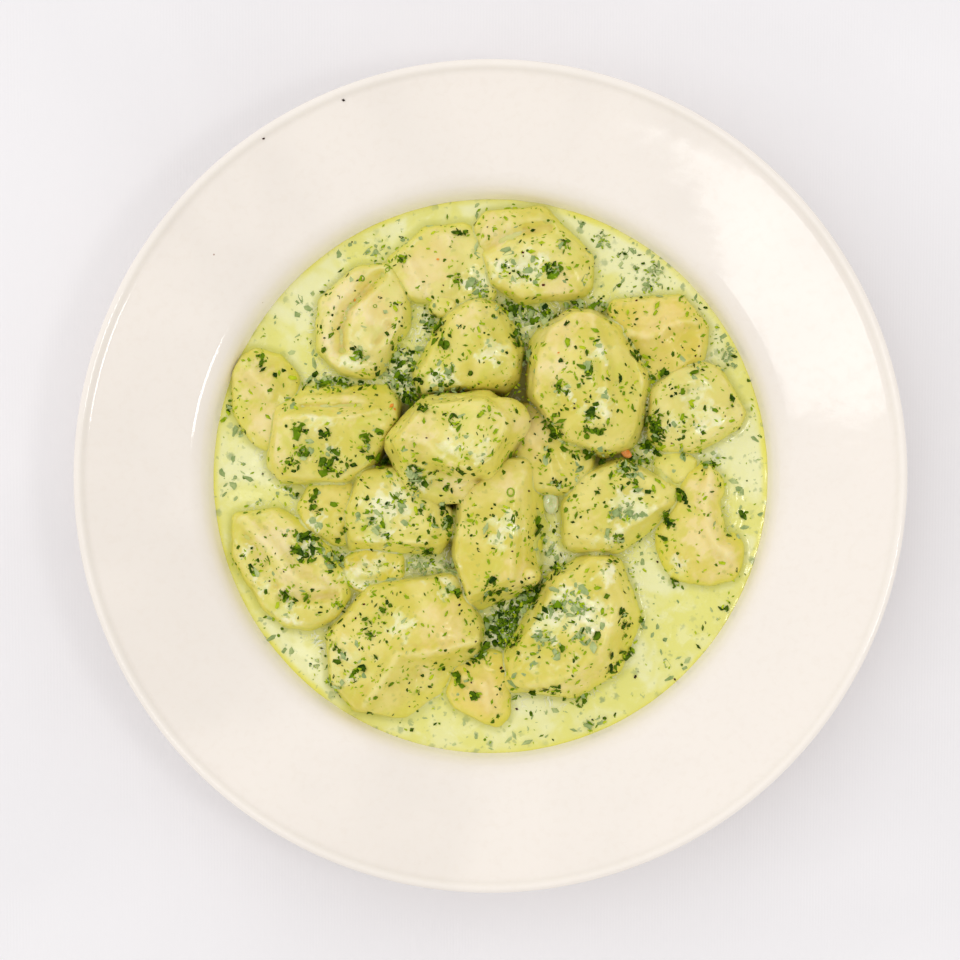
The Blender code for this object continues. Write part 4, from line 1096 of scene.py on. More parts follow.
# ---------------------------------------------------------------- chopped herbs and other small pieces

def taken_shape(thing):
    """Points and faces of a small object, which is then removed."""
    shape = (points_of(thing), [tuple(face.vertices) for face in thing.data.polygons])
    bpy.data.objects.remove(thing)
    return shape


def small_shape(corners, slenderness, thickness, curl, raggedness, seed):
    """Points and faces of one chopped flake, 1 mm long: a ragged plate, curled up in the middle."""
    bpy.ops.mesh.primitive_circle_add(
        vertices=corners, radius=0.5 * MM, fill_type="NGON", location=(0, 0, 0))
    flake = bpy.context.object
    edit(flake)
    bpy.ops.transform.vertex_random(offset=raggedness * MM, uniform=1.0, seed=seed)
    bpy.ops.transform.resize(value=(1.0, slenderness, 0.3))
    bpy.ops.mesh.poke()
    leave_edit()
    places = points_of(flake)
    middle = np.linalg.norm(places, axis=1).argmin()
    shift_points(flake, np.arange(len(places)) == middle, (0, 0, curl))
    body = flake.modifiers.new("thickness", "SOLIDIFY")
    body.thickness = thickness * MM
    body.offset = 0.0
    finish_modifiers(flake)
    return taken_shape(flake)


def ring_shape(outer, inner, height):
    """One thin ring cut from a hollow chive, 1 mm long."""
    bpy.ops.mesh.primitive_torus_add(
        location=(0, 0, 0), major_segments=12, minor_segments=5, major_radius=(outer + inner) / 4 * MM,
        minor_radius=(outer - inner) / 4 * MM)
    ring = bpy.context.object
    edit(ring)
    bpy.ops.transform.resize(value=(1.0, 0.82, height))
    leave_edit()
    return taken_shape(ring)


class Topping:
    """One kind of small topping: its shapes and the place of every copy.

    Its smallest, usual and largest size are in millimetres, and so is how far it is sunk in.
    Spread is how much the sizes differ, and flatness is how far a copy tips over.
    """

    def __init__(self, name, shapes, sizes, spread, sunk, flatness=0.16):
        self.name = name
        self.shapes = shapes
        self.smallest, self.usual, self.largest = sizes
        self.spread = spread
        self.sunk = sunk
        self.flatness = flatness
        self.copies = []

    def lay(self, dice, place, normal, size=None, lean=None):
        """Lays one copy on the surface at a place, turned at random."""
        if size is None:
            size = self.usual * math.exp(dice.gauss(0, self.spread))
            size = min(self.largest, max(self.smallest, size))
        lean = self.flatness if lean is None else lean
        tilt = Vector([dice.gauss(0, lean) for axis in range(3)])
        upward = (normal + tilt).normalized()
        along = Matrix.Rotation(dice.uniform(0, math.tau), 3, upward) @ upward.orthogonal().normalized()
        axes = np.array((along, upward.cross(along), upward))
        centre = place - normal * self.sunk * MM
        self.copies.append((dice.randrange(len(self.shapes)), axes * size, np.array(centre), dice.random()))

    def piece(self):
        """All the copies as one mesh, with a tint of its own for each."""
        points, faces, tints, count = [], [], [], 0
        for shape, axes, centre, tint in self.copies:
            shape_points, shape_faces = self.shapes[shape]
            points.append(shape_points @ axes + centre)
            faces.extend([tuple(corner + count for corner in face) for face in shape_faces])
            tints.append(tint * 0.75 + 0.25 * np.sin(np.arange(len(shape_points)) * 2.4 + 9.0 * tint))
            count += len(shape_points)
        mesh = bpy.data.meshes.new(self.name)
        mesh.from_pydata(np.concatenate(points).tolist(), [], faces)
        made = bpy.data.objects.new(self.name, mesh)
        mark(made, "tint", np.concatenate(tints))
        bpy.context.scene.collection.objects.link(made)
        return made


# Chopped flakes: corners, slenderness, thickness, curl, raggedness and seed.
LEAF_SHAPES = [
    (4, 0.62, 0.09, 0.10, 0.17, 1), (5, 0.50, 0.09, 0.14, 0.18, 2), (5, 0.70, 0.09, 0.08, 0.20, 3),
    (6, 0.42, 0.08, 0.16, 0.17, 4), (6, 0.64, 0.09, 0.12, 0.21, 5), (7, 0.56, 0.08, 0.18, 0.20, 6),
    (4, 0.34, 0.10, 0.10, 0.15, 7), (7, 0.80, 0.09, 0.14, 0.22, 8), (5, 0.28, 0.09, 0.06, 0.14, 9),
    (6, 0.52, 0.09, -0.12, 0.22, 10),
]
FLECK_SHAPES = [
    (4, 0.38, 0.20, 0.10, 0.13, 11), (5, 0.55, 0.22, 0.14, 0.15, 12), (4, 0.66, 0.22, 0.08, 0.16, 13),
    (5, 0.30, 0.20, 0.08, 0.12, 14),
]
GRAIN_SHAPES = [(5, 0.8, 0.5, 0.1, 0.1, 21), (4, 0.7, 0.5, 0.1, 0.1, 22)]


def toppings():
    """The six kinds of topping, with no copies yet."""
    leaves = [small_shape(*numbers) for numbers in LEAF_SHAPES]
    flecks = [small_shape(*numbers) for numbers in FLECK_SHAPES]
    grains = [small_shape(*numbers) for numbers in GRAIN_SHAPES]
    rings = [ring_shape(1.0, 0.55, 0.8)]
    return {
        "leaf": Topping("herb_leaf_flakes", leaves, (0.7, 1.5, 3.1), 0.40, -0.03),
        "veiled": Topping("herb_flakes_under_cream", leaves, (0.8, 1.6, 3.3), 0.38, 0.10, 0.08),
        "fleck": Topping("green_flecks", flecks, (0.45, 0.92, 2.0), 0.36, 0.02),
        "pepper": Topping("pepper_specks", grains, (0.25, 0.42, 0.7), 0.25, 0.02),
        "orange": Topping("carrot_chips", grains, (0.4, 0.8, 1.4), 0.3, 0.0),
        "ring": Topping("chive_rings", rings, (1.4, 1.8, 2.2), 0.12, 0.05),
    }


# Where the chopped herbs have gathered, in millimetres: ends of the stretch, how far it spreads,
# how many flakes, and the share of them that lies under cream.
GATHERED = [
    # Far side: between the gnocchi at the back and on them.
    ((3, 48), (19, 46), 1.9, 120, 0.35), ((7, 42), (10, 38), 1.4, 26, 0.4),
    ((11, 36), (12, 32), 1.2, 16, 0.5), ((23, 49), (35, 50), 1.2, 34, 0.4),
    ((-18, 46), (-15, 41), 1.8, 56, 0.15), ((-27, 38), (-22, 33), 2.2, 40, 0.4),
    ((-30, 29), (-21, 27), 2.0, 70, 0.45), ((-26, 24), (-19, 22), 1.4, 44, 0.25),
    ((-13, 29), (-11, 26), 1.6, 20, 0.6), ((-20, 23), (-9, 25), 0.8, 20, 0.2),
    ((17, 60.5), (19.5, 58.5), 1.1, 24, 0.2), ((3.5, 61), (6, 59.5), 0.9, 10, 0.2),
    ((9, 58), (11, 57), 0.9, 9, 0.2), ((20, 67), (22, 66.5), 0.9, 8, 0.5),
    ((-4, 58), (-2, 52), 1.4, 24, 0.9), ((-10, 58), (-9.5, 55), 0.9, 12, 0.1),
    ((-26, 65), (-24, 62), 0.9, 10, 0.1), ((-11, 71), (-6, 71), 0.5, 9, 0.0),
    ((46, 61), (50, 58), 1.8, 34, 0.85), ((48, 56), (46, 53), 1.4, 14, 0.7),
    ((33, 69), (35, 67), 1.2, 14, 0.85), ((38, 65), (40, 64), 0.9, 7, 0.8),
    ((68, 38), (72, 32), 2.0, 26, 0.85), ((-30, 68), (-36, 65), 1.6, 12, 1.0),
    # Left side.
    ((-53, 27), (-44, 27), 1.3, 44, 0.45), ((-44, 27), (-37, 26), 0.9, 16, 0.3),
    ((-38.5, 36), (-36.5, 34.5), 0.9, 14, 0.2), ((-67, 35), (-66, 31), 0.7, 9, 0.1),
    ((-57, 13), (-53, 12), 0.9, 18, 0.1), ((-47.5, 12), (-46, 11), 0.7, 8, 0.0),
    ((-55, 7), (-52, 6), 1.0, 22, 0.1), ((-58, 3), (-55, 4), 0.9, 12, 0.1),
    ((-45, 6.5), (-43.5, 6), 0.8, 9, 0.4), ((-49, 3), (-41, 1.5), 0.9, 30, 0.1),
    ((-38, 6), (-34, 9), 1.0, 12, 0.1), ((-36, 10), (-31, 12), 0.9, 14, 0.1),
    ((-34, 5), (-30, 2), 1.0, 14, 0.1), ((-74.5, 14), (-73, 11), 1.0, 9, 0.9),
    ((-76, 22), (-76.5, 19), 0.8, 7, 0.5), ((-60, -4), (-57, -6), 0.8, 9, 0.6),
    ((-52, -5), (-50, -11), 0.9, 18, 0.2), ((-57, -17), (-51.5, -19), 0.9, 20, 0.2),
    ((-57, -22), (-51.5, -25), 1.0, 22, 0.15), ((-49.5, -22), (-43, -26), 1.4, 44, 0.6),
    ((-60, -35), (-57.5, -37), 0.9, 14, 0.1), ((-44, -39), (-42.5, -37.5), 0.8, 10, 0.2),
    ((-44, -20), (-42, -16), 0.6, 10, 0.0), ((-69.5, -27), (-67.5, -29), 0.6, 6, 0.1),
    # Middle.
    ((-21, 19), (-14, 18), 0.7, 11, 0.1), ((-11.5, 17), (-9, 14), 0.9, 11, 0.1),
    ((-23, 1), (-18, -1), 1.5, 40, 0.5), ((-22, -2), (-20, -5), 1.2, 20, 0.3),
    ((-13, 1.5), (-3, 1), 0.7, 12, 0.1), ((-12, -3), (-11, -4), 0.6, 5, 0.1),
    ((-30, -9), (-24, -6), 1.5, 22, 0.5), ((-20, -9), (-18.5, -11), 0.8, 8, 0.1),
    ((-29, -17), (-28, -20), 0.9, 9, 0.3), ((-13.5, -9), (-12, -17), 0.8, 26, 0.2),
    ((-17, -13), (-15, -15), 0.8, 8, 0.2), ((-36, -14), (-30, -16), 1.4, 12, 0.4),
    ((18, 16), (21, 10), 1.3, 52, 0.15), ((23, 7.5), (27, 5), 1.0, 12, 0.2),
    ((28, 7), (36, 5), 1.0, 22, 0.2), ((29, 31), (29, 27.5), 0.9, 16, 0.15),
    ((20.5, 25), (22, 23.5), 0.7, 9, 0.3), ((29, 18), (30, 14.5), 0.9, 16, 0.4),
    ((27, 12), (33, 11.5), 0.6, 16, 0.05), ((43, 36), (44, 32), 0.6, 9, 0.0),
    ((40, 39), (42, 35), 0.6, 7, 0.0), ((46, 17), (50, 12), 1.4, 64, 0.25),
    ((44, 9), (50, 8), 1.0, 22, 0.2), ((52, 30), (46, 28), 0.7, 14, 0.2), ((59, 30), (65, 31), 0.6, 8, 0.1),
    ((69.8, 22), (70.5, 19), 0.4, 6, 0.0), ((63, 2.5), (67, 3), 0.8, 20, 0.2),
    ((55, 8), (57, 5), 0.8, 8, 0.5), ((38, 1), (42, 4), 1.3, 44, 0.4), ((44, 5), (46, 3), 0.8, 10, 0.3),
    ((25, 2), (26, 0), 0.9, 9, 0.7), ((17.5, 8), (18, 4), 0.9, 8, 0.3),
    ((18, -2.5), (23, -3), 0.9, 16, 0.2),
    # Near side.
    ((13, -12), (15.5, -19), 0.6, 18, 0.1), ((17, -20), (18.5, -24), 0.9, 14, 0.9),
    ((22, -26), (19, -29), 0.9, 24, 0.2), ((15, -33), (4, -42), 1.6, 170, 0.25),
    ((2, -41), (6, -47), 2.0, 130, 0.25), ((0, -50), (9, -47.5), 0.9, 34, 0.05),
    ((-1, -52), (-5, -54), 1.0, 22, 0.2), ((2, -33), (0, -35), 1.2, 18, 0.1),
    ((35, -24), (36, -26), 0.7, 8, 0.1), ((36, -17.5), (38, -19), 0.9, 12, 0.3),
    ((37, -10), (42, -12), 1.6, 22, 0.8), ((41, -1), (44, -4), 1.2, 16, 0.5),
    ((51.5, -10.5), (53, -16), 0.8, 24, 0.2), ((54.5, -4.5), (56, -7), 0.7, 18, 0.0),
    ((53, -31), (56, -33), 0.7, 9, 0.1), ((17, -38.5), (21, -38), 0.8, 14, 0.2),
    ((15, -43), (15.5, -40), 0.7, 8, 0.1), ((20, -36), (29, -41), 2.4, 60, 0.85),
    ((15, -46), (20, -51), 1.4, 26, 0.85), ((26, -45), (30, -48), 1.4, 18, 0.7),
    ((38, -39), (40, -47), 0.5, 16, 0.1), ((35, -57), (41, -51), 0.7, 20, 0.1),
    ((45, -45), (44, -41), 0.7, 10, 0.4), ((12, -63), (21, -62), 0.6, 16, 0.1),
    ((21, -65), (28, -65), 0.9, 10, 0.2), ((28, -73), (33, -71), 0.9, 16, 0.8),
    ((66, -42), (69, -38), 0.8, 10, 0.5), ((-24, -26), (-9, -28), 1.2, 34, 0.85),
    ((-21, -22), (-16, -23), 0.9, 24, 0.5), ((-32, -39), (-30, -40), 0.7, 7, 0.1),
    ((-12, -33), (-8.5, -35), 0.8, 12, 0.3), ((-36, -43), (-34, -47), 0.7, 9, 0.0),
    ((-46, -45), (-43, -53), 0.9, 18, 0.0), ((-36, -56), (-39, -58), 0.7, 10, 0.0),
    ((-46, -61), (-44, -63), 0.9, 12, 0.8), ((-52, -57), (-50, -55), 1.2, 8, 1.0),
    ((-10, -59), (-8, -61), 0.8, 8, 0.1), ((-4.5, -63), (-3, -65), 0.6, 6, 0.1),
]

# Single pieces that stand out, in millimetres: place and size.
SINGLES = {
    "leaf": [
        (-12.2, 37.2, 3.9), (-16.4, 30.2, 2.6), (-10.4, 30.5, 2.6), (-5, 29, 2.3), (-8, 33, 1.8),
        (-6.5, 37, 1.6), (-2.5, 32.5, 1.5), (5.5, 35, 1.7), (3, 32, 1.6), (5, 26, 1.4), (-49, 54, 2.3),
        (-46.5, 47, 1.3), (-46, 40.5, 2.1), (-48, 36.5, 2.1), (-27.5, 43, 2.1), (-24, 53, 1.5),
        (-37.4, 35, 2.2), (-62.5, 29, 2.4), (-60, 30.5, 1.5), (-60, 26, 1.7), (-47, 11.5, 2.3),
        (-53, 7, 2.3), (-8, 12.6, 2.4), (-10, 16, 2.0), (-12.5, 76, 1.6), (13, 71, 2.3), (17.5, 60, 2.6),
        (19, 58.5, 2.2), (9, 58, 2.0), (28.3, 66, 1.6), (52.5, 54.5, 1.6), (56, 51.5, 2.0), (38, 55.5, 1.5),
        (33, 71, 1.4), (44, 64.5, 1.3), (35.5, 43.5, 2.1), (31.5, 38, 2.7), (28.5, 34.5, 2.2),
        (29.4, 29.5, 2.6), (29, 27, 2.2), (21, 32.3, 1.8), (25.5, 36, 1.5), (26.5, 25, 2.7),
        (20.2, 24, 2.2), (34.5, 27, 1.7), (38, 27, 2.3), (39, 23, 1.5), (31, 19.5, 2.3), (41.5, 19, 1.8),
        (33, 12.5, 2.0), (32.5, 3.6, 3.0), (36, 6, 1.9), (25, 5, 2.0), (1.5, 5.5, 2.2), (6.3, 5.6, 2.4),
        (54, 25, 1.6), (56, 24, 2.4), (53, 22.6, 1.3), (62.5, 18.8, 1.7), (65.5, 18.2, 1.6), (62, 12, 1.3),
        (50, 9, 2.6), (75.7, 27.5, 1.2), (68.5, 5, 1.5), (42.5, 43.4, 1.3), (37, 47, 1.5), (2, -9, 1.6),
        (7.2, -13.2, 2.3), (1.7, -12, 1.8), (14, -10, 1.8), (1, -30.5, 2.3), (4.5, -33, 2.6), (24, -4, 1.8),
        (25, -6.5, 1.8), (22.5, -10.5, 2.3), (25.5, -12, 2.3), (24.5, -14, 1.5), (19, -16.5, 1.9),
        (31.5, -5.5, 2.1), (38.5, -4, 1.9), (31, -9.2, 1.3), (34, -9.4, 1.3), (43, -3, 1.7),
        (46.5, -5, 1.6), (43.5, -18, 2.5), (52, -14, 2.2), (51, -18.5, 1.9), (64.5, -5.2, 2.0),
        (67, -3, 1.6), (74, -11.5, 2.8), (69.5, -17.8, 1.7), (54.7, -23, 1.4), (38, -29, 1.7),
        (38, -39, 1.8), (25.5, -53, 1.9), (7.5, -65, 2.2), (26, -67.5, 1.9), (28, -64, 1.6),
        (36.5, -70, 1.3), (62, -44.5, 1.8), (61, -50, 1.9), (-8, -8, 2.9), (-11.5, -3.5, 2.2),
        (-8, -2, 1.7), (-25.5, -20, 2.1), (-20.5, -19, 1.8), (-22, -7.5, 1.7), (-35, -7, 1.6),
        (-35, -11, 1.4), (-45, -9, 2.2), (-43, -13, 1.6), (-51.5, -9.5, 2.2), (-59.5, -17.8, 1.7),
        (-51.5, -18.5, 2.6), (-55.8, -21.5, 3.2), (-51.5, -25, 2.6), (-73, -21, 1.6), (-71.5, -23.5, 1.8),
        (-69, -21.5, 1.6), (-68, -28.5, 2.0), (-65, -34, 2.0), (-59, -35.5, 3.2), (-57, -37.5, 1.9),
        (-53, -36, 3.1), (-51, -33.5, 1.5), (-46, -28.2, 1.5), (-49, -40, 1.4), (-43.2, -38.2, 2.2),
        (-28.5, -38, 2.0), (-6.5, -42.7, 2.3), (-43, -42.5, 1.9), (-8.5, -34.5, 1.5), (-32.5, -53, 2.0),
        (-36.5, -50.5, 1.6), (-36.5, -56, 2.7), (-38.8, -57.4, 2.0), (-38.5, -60, 1.5), (-28, -60.5, 2.5),
        (-17.2, -61.5, 1.6), (-32.5, -64.5, 2.1), (-34.5, -69, 1.9), (-48, -53, 1.4), (-61.7, -47, 1.4),
        (-65.5, -41.5, 1.6), (-3.3, -64, 2.0), (-8, -61, 1.4), (-22.5, -74.5, 2.2), (-1.3, -77.3, 1.2),
        (-2.4, -52.5, 2.4), (-67, -11, 1.1),
    ],
    "veiled": [
        (-3.5, 66.4, 3.0), (-2.8, 64, 2.6), (-3.5, 76.3, 2.3), (-17, 73, 2.8), (-20, 69, 2.2),
        (-53.5, 49, 2.2), (-55.5, 52.3, 2.2), (-58, 36, 1.9), (-30, 47.5, 2.4), (5, 65.5, 2.6),
        (31, 63.5, 2.0), (39, 57, 2.2), (77.6, 10.5, 2.6), (53.5, 14.3, 2.4), (56.5, 5, 2.4),
        (-0.4, -16, 3.4), (17.6, -22.5, 3.2), (40.5, -10.5, 2.2), (42.5, -12.5, 2.6), (37, -11, 3.0),
        (73.5, -5, 2.4), (72.5, -18.2, 2.4), (24.5, -34.5, 2.2), (33, -44, 2.8), (15, -47, 3.2),
        (19, -51.2, 3.0), (30, -50, 4.4), (57.5, -54, 2.8), (50, -51.5, 2.3), (41, -28, 1.8),
        (24.5, -74.5, 2.2), (-24, -14, 2.3), (-25, -9, 2.6), (-78, -5.5, 1.9), (-74.5, -7, 1.5),
        (-45, -24, 3.0), (-48, -22.6, 2.6), (-7.5, -72.5, 1.9), (-4, -76.3, 1.7), (-19, -71, 2.0),
        (-58, -51.5, 2.0), (-46, -61.5, 2.6), (-51, -56, 2.2), (-41, 68, 1.8), (-63, 45, 1.2),
    ],
    "fleck": [
        (15.5, 67, 2.2), (12.5, 64.5, 2.6), (24, 53.3, 1.5), (5, 74.5, 1.6), (23, 37.5, 2.6), (31, 41, 2.8),
        (35.5, 48.5, 2.2), (40.5, 47, 1.8), (49, 49, 2.4), (49, 42.7, 1.1), (45.5, 47.2, 1.1),
        (34.5, 14.6, 2.2), (48.5, 21, 2.2), (59, 19.5, 1.3), (-1.5, 16.4, 2.0), (-20.5, 8, 2.2),
        (-57.5, 28.4, 2.4), (-64.5, 16.8, 2.4), (-59, 21.8, 1.6), (-59, 18.6, 1.5), (-39, 20, 2.0),
        (-43, 19, 1.2), (-39.5, 33.5, 2.2), (-37.4, 57, 1.6), (-23.5, -35.5, 2.2), (-15, -31, 2.0),
        (-12, -40.5, 2.1), (-15.8, -44, 1.3), (-12.5, -46.3, 1.5), (-17, -46.6, 1.2), (-61.5, -38, 2.0),
        (-36, -15.5, 2.2), (8.5, -23.5, 2.0), (7, -8, 1.4), (62, -6.2, 1.4), (67.5, -25.8, 1.9),
        (57, -25.3, 0.9), (28.5, -28, 2.2), (31.5, -33, 2.4), (42.5, -49, 2.2), (10, -44.5, 2.0),
        (17, -54.5, 1.6), (-5, -59.3, 1.7), (-21.3, -51, 1.8), (35, -16.6, 1.6), (31, -15.5, 1.2),
        (-29, 0, 2.0), (-31.8, -7.8, 1.5), (48, -14.5, 1.2), (71, -35.5, 1.0),
    ],
    "ring": [
        (-36.8, 57.2, 2.0), (-29.6, 60, 1.7), (6.6, -5.4, 3.0), (-33.0, 49.0, 1.4),
    ],
    "orange": [
        (-28.0, 19.8, 1.4), (-27.2, 18.9, 0.8), (-39.2, 51, 0.8), (-14.8, 62.8, 0.8), (20.4, 34.6, 0.6),
    ],
    "pepper": [
        (16, 55, 0.9), (10, 64.4, 0.8), (6.2, 58.4, 0.7), (43, 50.4, 0.7), (62.4, 40.3, 0.7),
        (60, 34.3, 0.7), (61, 37, 0.6), (-17, 9.7, 0.6), (-36, -37.7, 0.7), (-8.4, -37.8, 0.8),
        (-38.4, -41.7, 0.7), (-29, -45.4, 0.7), (11.7, -5, 0.8), (11.8, -30, 0.7), (7, -22.4, 0.6),
        (3.5, -56.2, 0.9), (8, -68.3, 0.9), (37, -57.3, 0.7), (42.5, -58.8, 1.0), (54, -59.6, 0.8),
        (49, -25.4, 0.7), (12, 15, 0.7), (25, 18.7, 0.7), (25, 20, 0.5), (-5, -60.3, 0.6), (50, 33.2, 0.5),
        (-41.8, 108.3, 0.9), (-65.0, 97.2, 0.7),
    ],
}

# The gathered and the scattered herbs share one run of random numbers.
STREW_SEED = 41
SINGLES_SEED = 7
# How many flakes lie in a gathering for each one that GATHERED counts.
GATHERED_SHARE = 1.35
# Herbs lie within this radius, in millimetres, and this many places are tried for the scattered ones.
HERB_RADIUS = 80
SCATTER_HALF_WIDTH = 81
SCATTER_TRIES = 11500
CLUMPS_PER_MM = 0.14


def uppermost(across, along):
    """Place and normal of the uppermost surface over a spot in millimetres, and whether it is dough."""
    _, place, normal, thing = straight_down(bpy.context.evaluated_depsgraph_get(), across, along)
    return place, normal, thing.name.startswith("dough")


def lay_gathered(kinds, dice):
    """Lays the herbs that have gathered along the creases."""
    for start, end, spread, count, under in GATHERED:
        for copy in range(int(count * GATHERED_SHARE)):
            share = dice.random()
            across = start[0] + (end[0] - start[0]) * share + dice.gauss(0, spread)
            along = start[1] + (end[1] - start[1]) * share + dice.gauss(0, spread)
            if math.hypot(across, along) > HERB_RADIUS:
                continue
            place, normal, _ = uppermost(across, along)
            roll = dice.random()
            kind = "veiled" if roll < under * 0.7 else ("fleck" if roll > 0.68 else "leaf")
            lift = normal * dice.uniform(0, 0.4) * MM
            kinds[kind].lay(dice, place + lift, normal, lean=0.4)


def scatter_chance(on_dough, cream, clumps, crease):
    """Chance that a tried place gets a flake: more on dough, in clumps and in creases, less where bare."""
    chance = 0.53 if on_dough else 0.17
    return chance * (1.0 + 1.8 * clumps) * (1.0 + 0.8 * min(0.0, cream)) * (1 + 1.1 * crease)


def scattered_kind(dice, on_dough, cream, crease):
    """Kind of a scattered flake. More lie under cream on the sauce and where cream has pooled."""
    roll = dice.random()
    veiled = (0.03 if on_dough else 0.50 * (1 - crease)) + 0.35 * max(0.0, cream)
    if roll < veiled:
        return "veiled"
    if roll > 0.985:
        return "pepper"
    return "leaf" if dice.random() < 0.2 else "fleck"


def scatter(kinds, relief, dice):
    """Scatters herbs over all of the food."""
    for copy in range(SCATTER_TRIES):
        across = dice.uniform(-SCATTER_HALF_WIDTH, SCATTER_HALF_WIDTH)
        along = dice.uniform(-SCATTER_HALF_WIDTH, SCATTER_HALF_WIDTH)
        if math.hypot(across, along) > HERB_RADIUS:
            continue
        place, normal, on_dough = uppermost(across, along)
        cream = cream_at(np.array([(across, along)]))[0]
        clumps = noise.noise(Vector((across, along, 3.0)) * CLUMPS_PER_MM)
        depth = relief.depth(np.array([place]) / MM)[0]
        crease = min(1.0, max(0.0, (depth - 0.8) / 3.0))
        if dice.random() > scatter_chance(on_dough, cream, clumps, crease):
            continue
        kind = scattered_kind(dice, on_dough, cream, crease)
        size = dice.uniform(0.7, 1.5) if kind == "leaf" else None
        kinds[kind].lay(dice, place, normal, size=size)


def lay_singles(kinds):
    """Lays the pieces that stand out, and beside each large flake a crumb or two."""
    dice = random.Random(SINGLES_SEED)
    for label, places in SINGLES.items():
        for across, along, size in places:
            place, normal, _ = uppermost(across, along)
            kinds[label].lay(dice, place + normal * 0.08 * MM, normal, size=size)
            for crumb in range(dice.choice((0, 1, 1, 2)) if label == "leaf" else 0):
                beside = across + dice.gauss(0, 0.9), along + dice.gauss(0, 0.9)
                place, normal, _ = uppermost(*beside)
                kind = kinds[dice.choice(("fleck", "fleck", "leaf"))]
                kind.lay(dice, place, normal, size=dice.uniform(0.6, 1.2))


def vegetable_chip(name, place, rise, half_sizes, turn, seed):
    """One soft chip of vegetable, its middle a rise in millimetres over what is uppermost at its place."""
    spot = uppermost(*place)[0]
    middle = spot + Vector((0, 0, rise * MM))
    bpy.ops.mesh.primitive_uv_sphere_add(
        segments=24, ring_count=14, radius=MM, location=middle, scale=half_sizes)
    chip = bpy.context.object
    chip.name = name
    settle(chip)
    edit(chip)
    bpy.ops.transform.vertex_random(offset=0.12 * MM, uniform=0.5, seed=seed)
    bpy.ops.transform.rotate(value=math.radians(turn), orient_axis="Z", center_override=spot)
    leave_edit()
    places = (points_of(chip) - np.array(spot)) / MM
    top = (np.linalg.norm(places[:, :2], axis=1) < 0.3) & (places[:, 2] > rise)
    shift_points(chip, top, (0, 0, -0.45 * half_sizes[2]), reach=half_sizes[0] * 0.8)
    subdivision = chip.modifiers.new("round", "SUBSURF")
    subdivision.levels = subdivision.render_levels = 1
    soften(chip, 2)
    finish_modifiers(chip)
    chip.data.shade_smooth()
    return chip


# ---------------------------------------------------------------- stage

def floor():
    bpy.ops.mesh.primitive_plane_add(size=12.0, location=(0, 0, 0))
    cloth = bpy.context.object
    cloth.name = "pale_floor"
    cloth.data.materials.append(floor_material())


def area_light(name, place, aim, size, power):
    light = bpy.data.lights.new(name, "AREA")
    light.shape = "RECTANGLE"
    light.size, light.size_y = size
    light.energy = power
    lamp = bpy.data.objects.new(name, light)
    bpy.context.scene.collection.objects.link(lamp)
    lamp.location = place
    lamp.rotation_euler = (Vector(aim) - Vector(place)).to_track_quat("-Z", "Y").to_euler()
    return lamp


def studio():
    """Even light from all round, a broad light over the far left, and two small ones that give glints.

    Places, aims and sizes are in metres, and powers in watts.
    """
    world = bpy.data.worlds.new("soft_room")
    bpy.context.scene.world = world
    world.use_nodes = True
    background = world.node_tree.nodes["Background"]
    background.inputs["Color"].default_value = (1.0, 0.99, 0.985, 1.0)
    background.inputs["Strength"].default_value = 0.80
    broad_light = area_light("window_above", (-1.6, 1.25, 2.8), (0, 0, 0.02), (5.0, 5.0), 38.0)
    broad_light.visible_glossy = False
    area_light("softbox_right", (0.42, -0.10, 0.98), (0, 0, 0.03), (0.15, 0.15), 0.8)
    area_light("pane_over_left", (-0.21, -0.05, 1.3), (0, 0, 0.03), (0.14, 0.22), 0.3)
    bpy.context.scene.view_settings.view_transform = "Standard"
    bpy.context.scene.view_settings.look = "None"


def camera():
    """Camera nearly straight above, a little to the near right."""
    lens = bpy.data.cameras.new("camera_above")
    lens.sensor_width = 36.0
    lens.lens = 92.0
    eye = bpy.data.objects.new("camera_above", lens)
    bpy.context.scene.collection.objects.link(eye)
    eye.location = (0.026, -0.026, 0.74)
    aim = Vector((-0.0022, -0.0019, 0.036))
    back = (eye.location - aim).normalized()
    right = Vector((0, 1, 0)).cross(back).normalized()
    eye.rotation_euler = Matrix((right, back.cross(right), back)).transposed().to_euler()
    lens.clip_start = 0.01
    lens.clip_end = 20.0
    bpy.context.scene.camera = eye


# ---------------------------------------------------------------- the whole dish

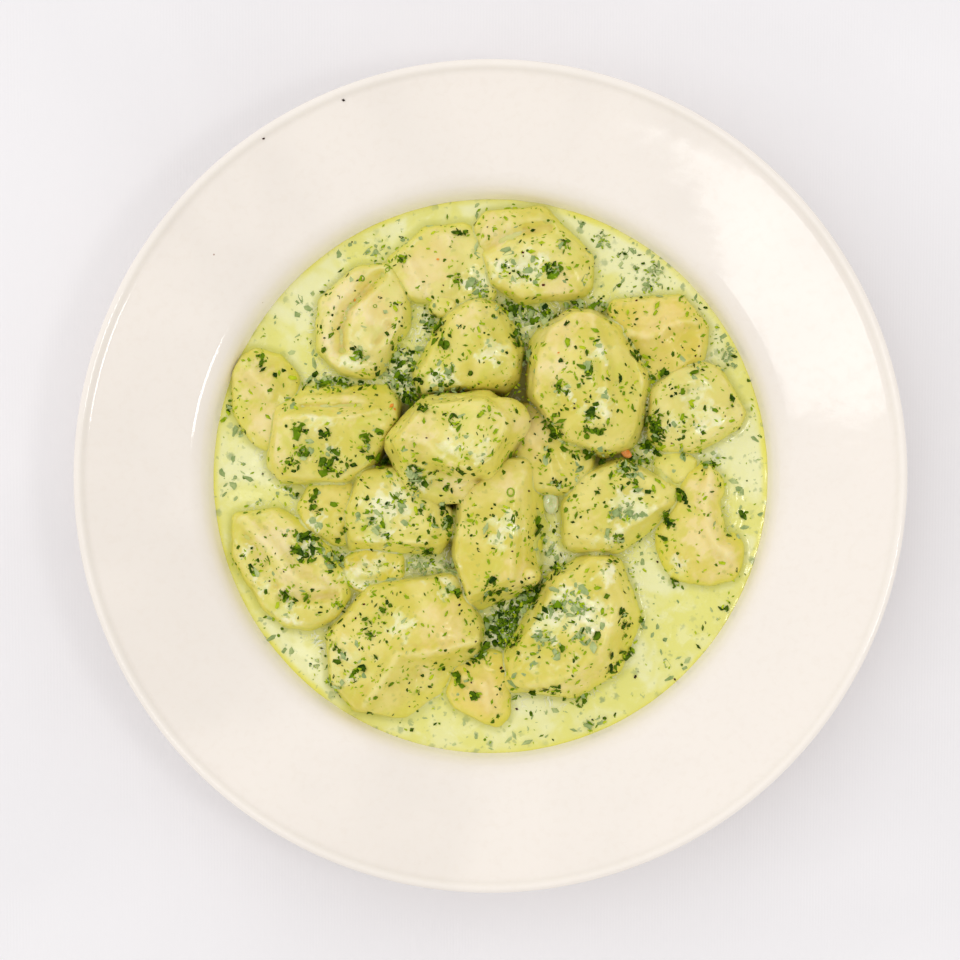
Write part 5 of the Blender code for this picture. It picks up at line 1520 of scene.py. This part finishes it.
# Finish of each kind of topping: its name, darkest and palest colour, roughness and slot.
TOPPING_FINISHES = {
    "leaf": ("herb_leaf", (22, 52, 0), (112, 146, 8), 0.4, "chopped_herbs"),
    "veiled": ("herb_under_cream", (134, 157, 96), (194, 205, 140), 0.35, "chopped_herbs"),
    "fleck": ("green_fleck", (116, 152, 2), (196, 210, 40), 0.4, "chopped_herbs"),
    "pepper": ("pepper", (30, 20, 14), (90, 40, 24), 0.5, "ground_pepper"),
    "orange": ("carrot_speck", (228, 140, 50), (238, 168, 76), 0.4, "vegetable_bits"),
    "ring": ("chive", (110, 146, 30), (160, 180, 50), 0.35, "chopped_herbs"),
}


def set_out_plate():
    dish = plate()
    dish.data.materials.append(glaze_material())
    dish.data.shade_smooth()
    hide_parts("deep_plate")
    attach(dish, "root")


def heap_gnocchi():
    dough = dough_material()
    gnocchi = []
    for node, shape in SHAPES.items():
        piece = gnocco(node, **shape)
        piece.data.materials.append(dough)
        gnocchi.append(piece)
        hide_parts(node)
        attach(piece, "root")
    return gnocchi


def pour_sauce(gnocchi):
    pool = sauce(gnocchi)
    pool.data.materials.clear()
    pool.data.materials.append(sauce_material())
    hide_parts("cream_sauce")
    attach(pool, "root")
    return pool


def mark_surfaces(gnocchi, pool, relief):
    """Stores how deep each point lies, how thick the cream is and, on the sauce, how near dough is."""
    for piece in [*gnocchi, pool]:
        places = points_of(piece) / MM
        mark(piece, "depth", relief.depth(places))
        mark(piece, "cream", cream_at(places))
    mark(pool, "gap", distance_to_dough(points_of(pool) / MM, gnocchi))


def add_chips():
    """The two larger bits of vegetable."""
    chips = [
        (vegetable_chip("onion_bit", (18.0, -8.0), 0.5, (2.4, 3.6, 1.3), -8, 3), onion_material()),
        (vegetable_chip("carrot_chip", (40.0, 6.2), 1.6, (1.8, 1.2, 0.9), 38, 5), carrot_material()),
    ]
    for chip, material in chips:
        chip.data.materials.append(material)
        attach(chip, "root")


def add_toppings(kinds):
    for label, kind in kinds.items():
        name, dark, light, roughness, slot = TOPPING_FINISHES[label]
        made = kind.piece()
        made.data.materials.append(herb_material(name, paint(*dark), paint(*light), roughness))
        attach(made, "root")


def main():
    camera()
    studio()
    floor()
    set_out_plate()
    gnocchi = heap_gnocchi()
    pool = pour_sauce(gnocchi)
    relief = Relief(reach=84.0, step=0.6, blur=4.0)
    mark_surfaces(gnocchi, pool, relief)

    kinds = toppings()
    dice = random.Random(STREW_SEED)
    lay_gathered(kinds, dice)
    scatter(kinds, relief, dice)
    lay_singles(kinds)
    # The chips come before the herbs are made into pieces, so that they lie on the food itself.
    add_chips()
    add_toppings(kinds)


main()
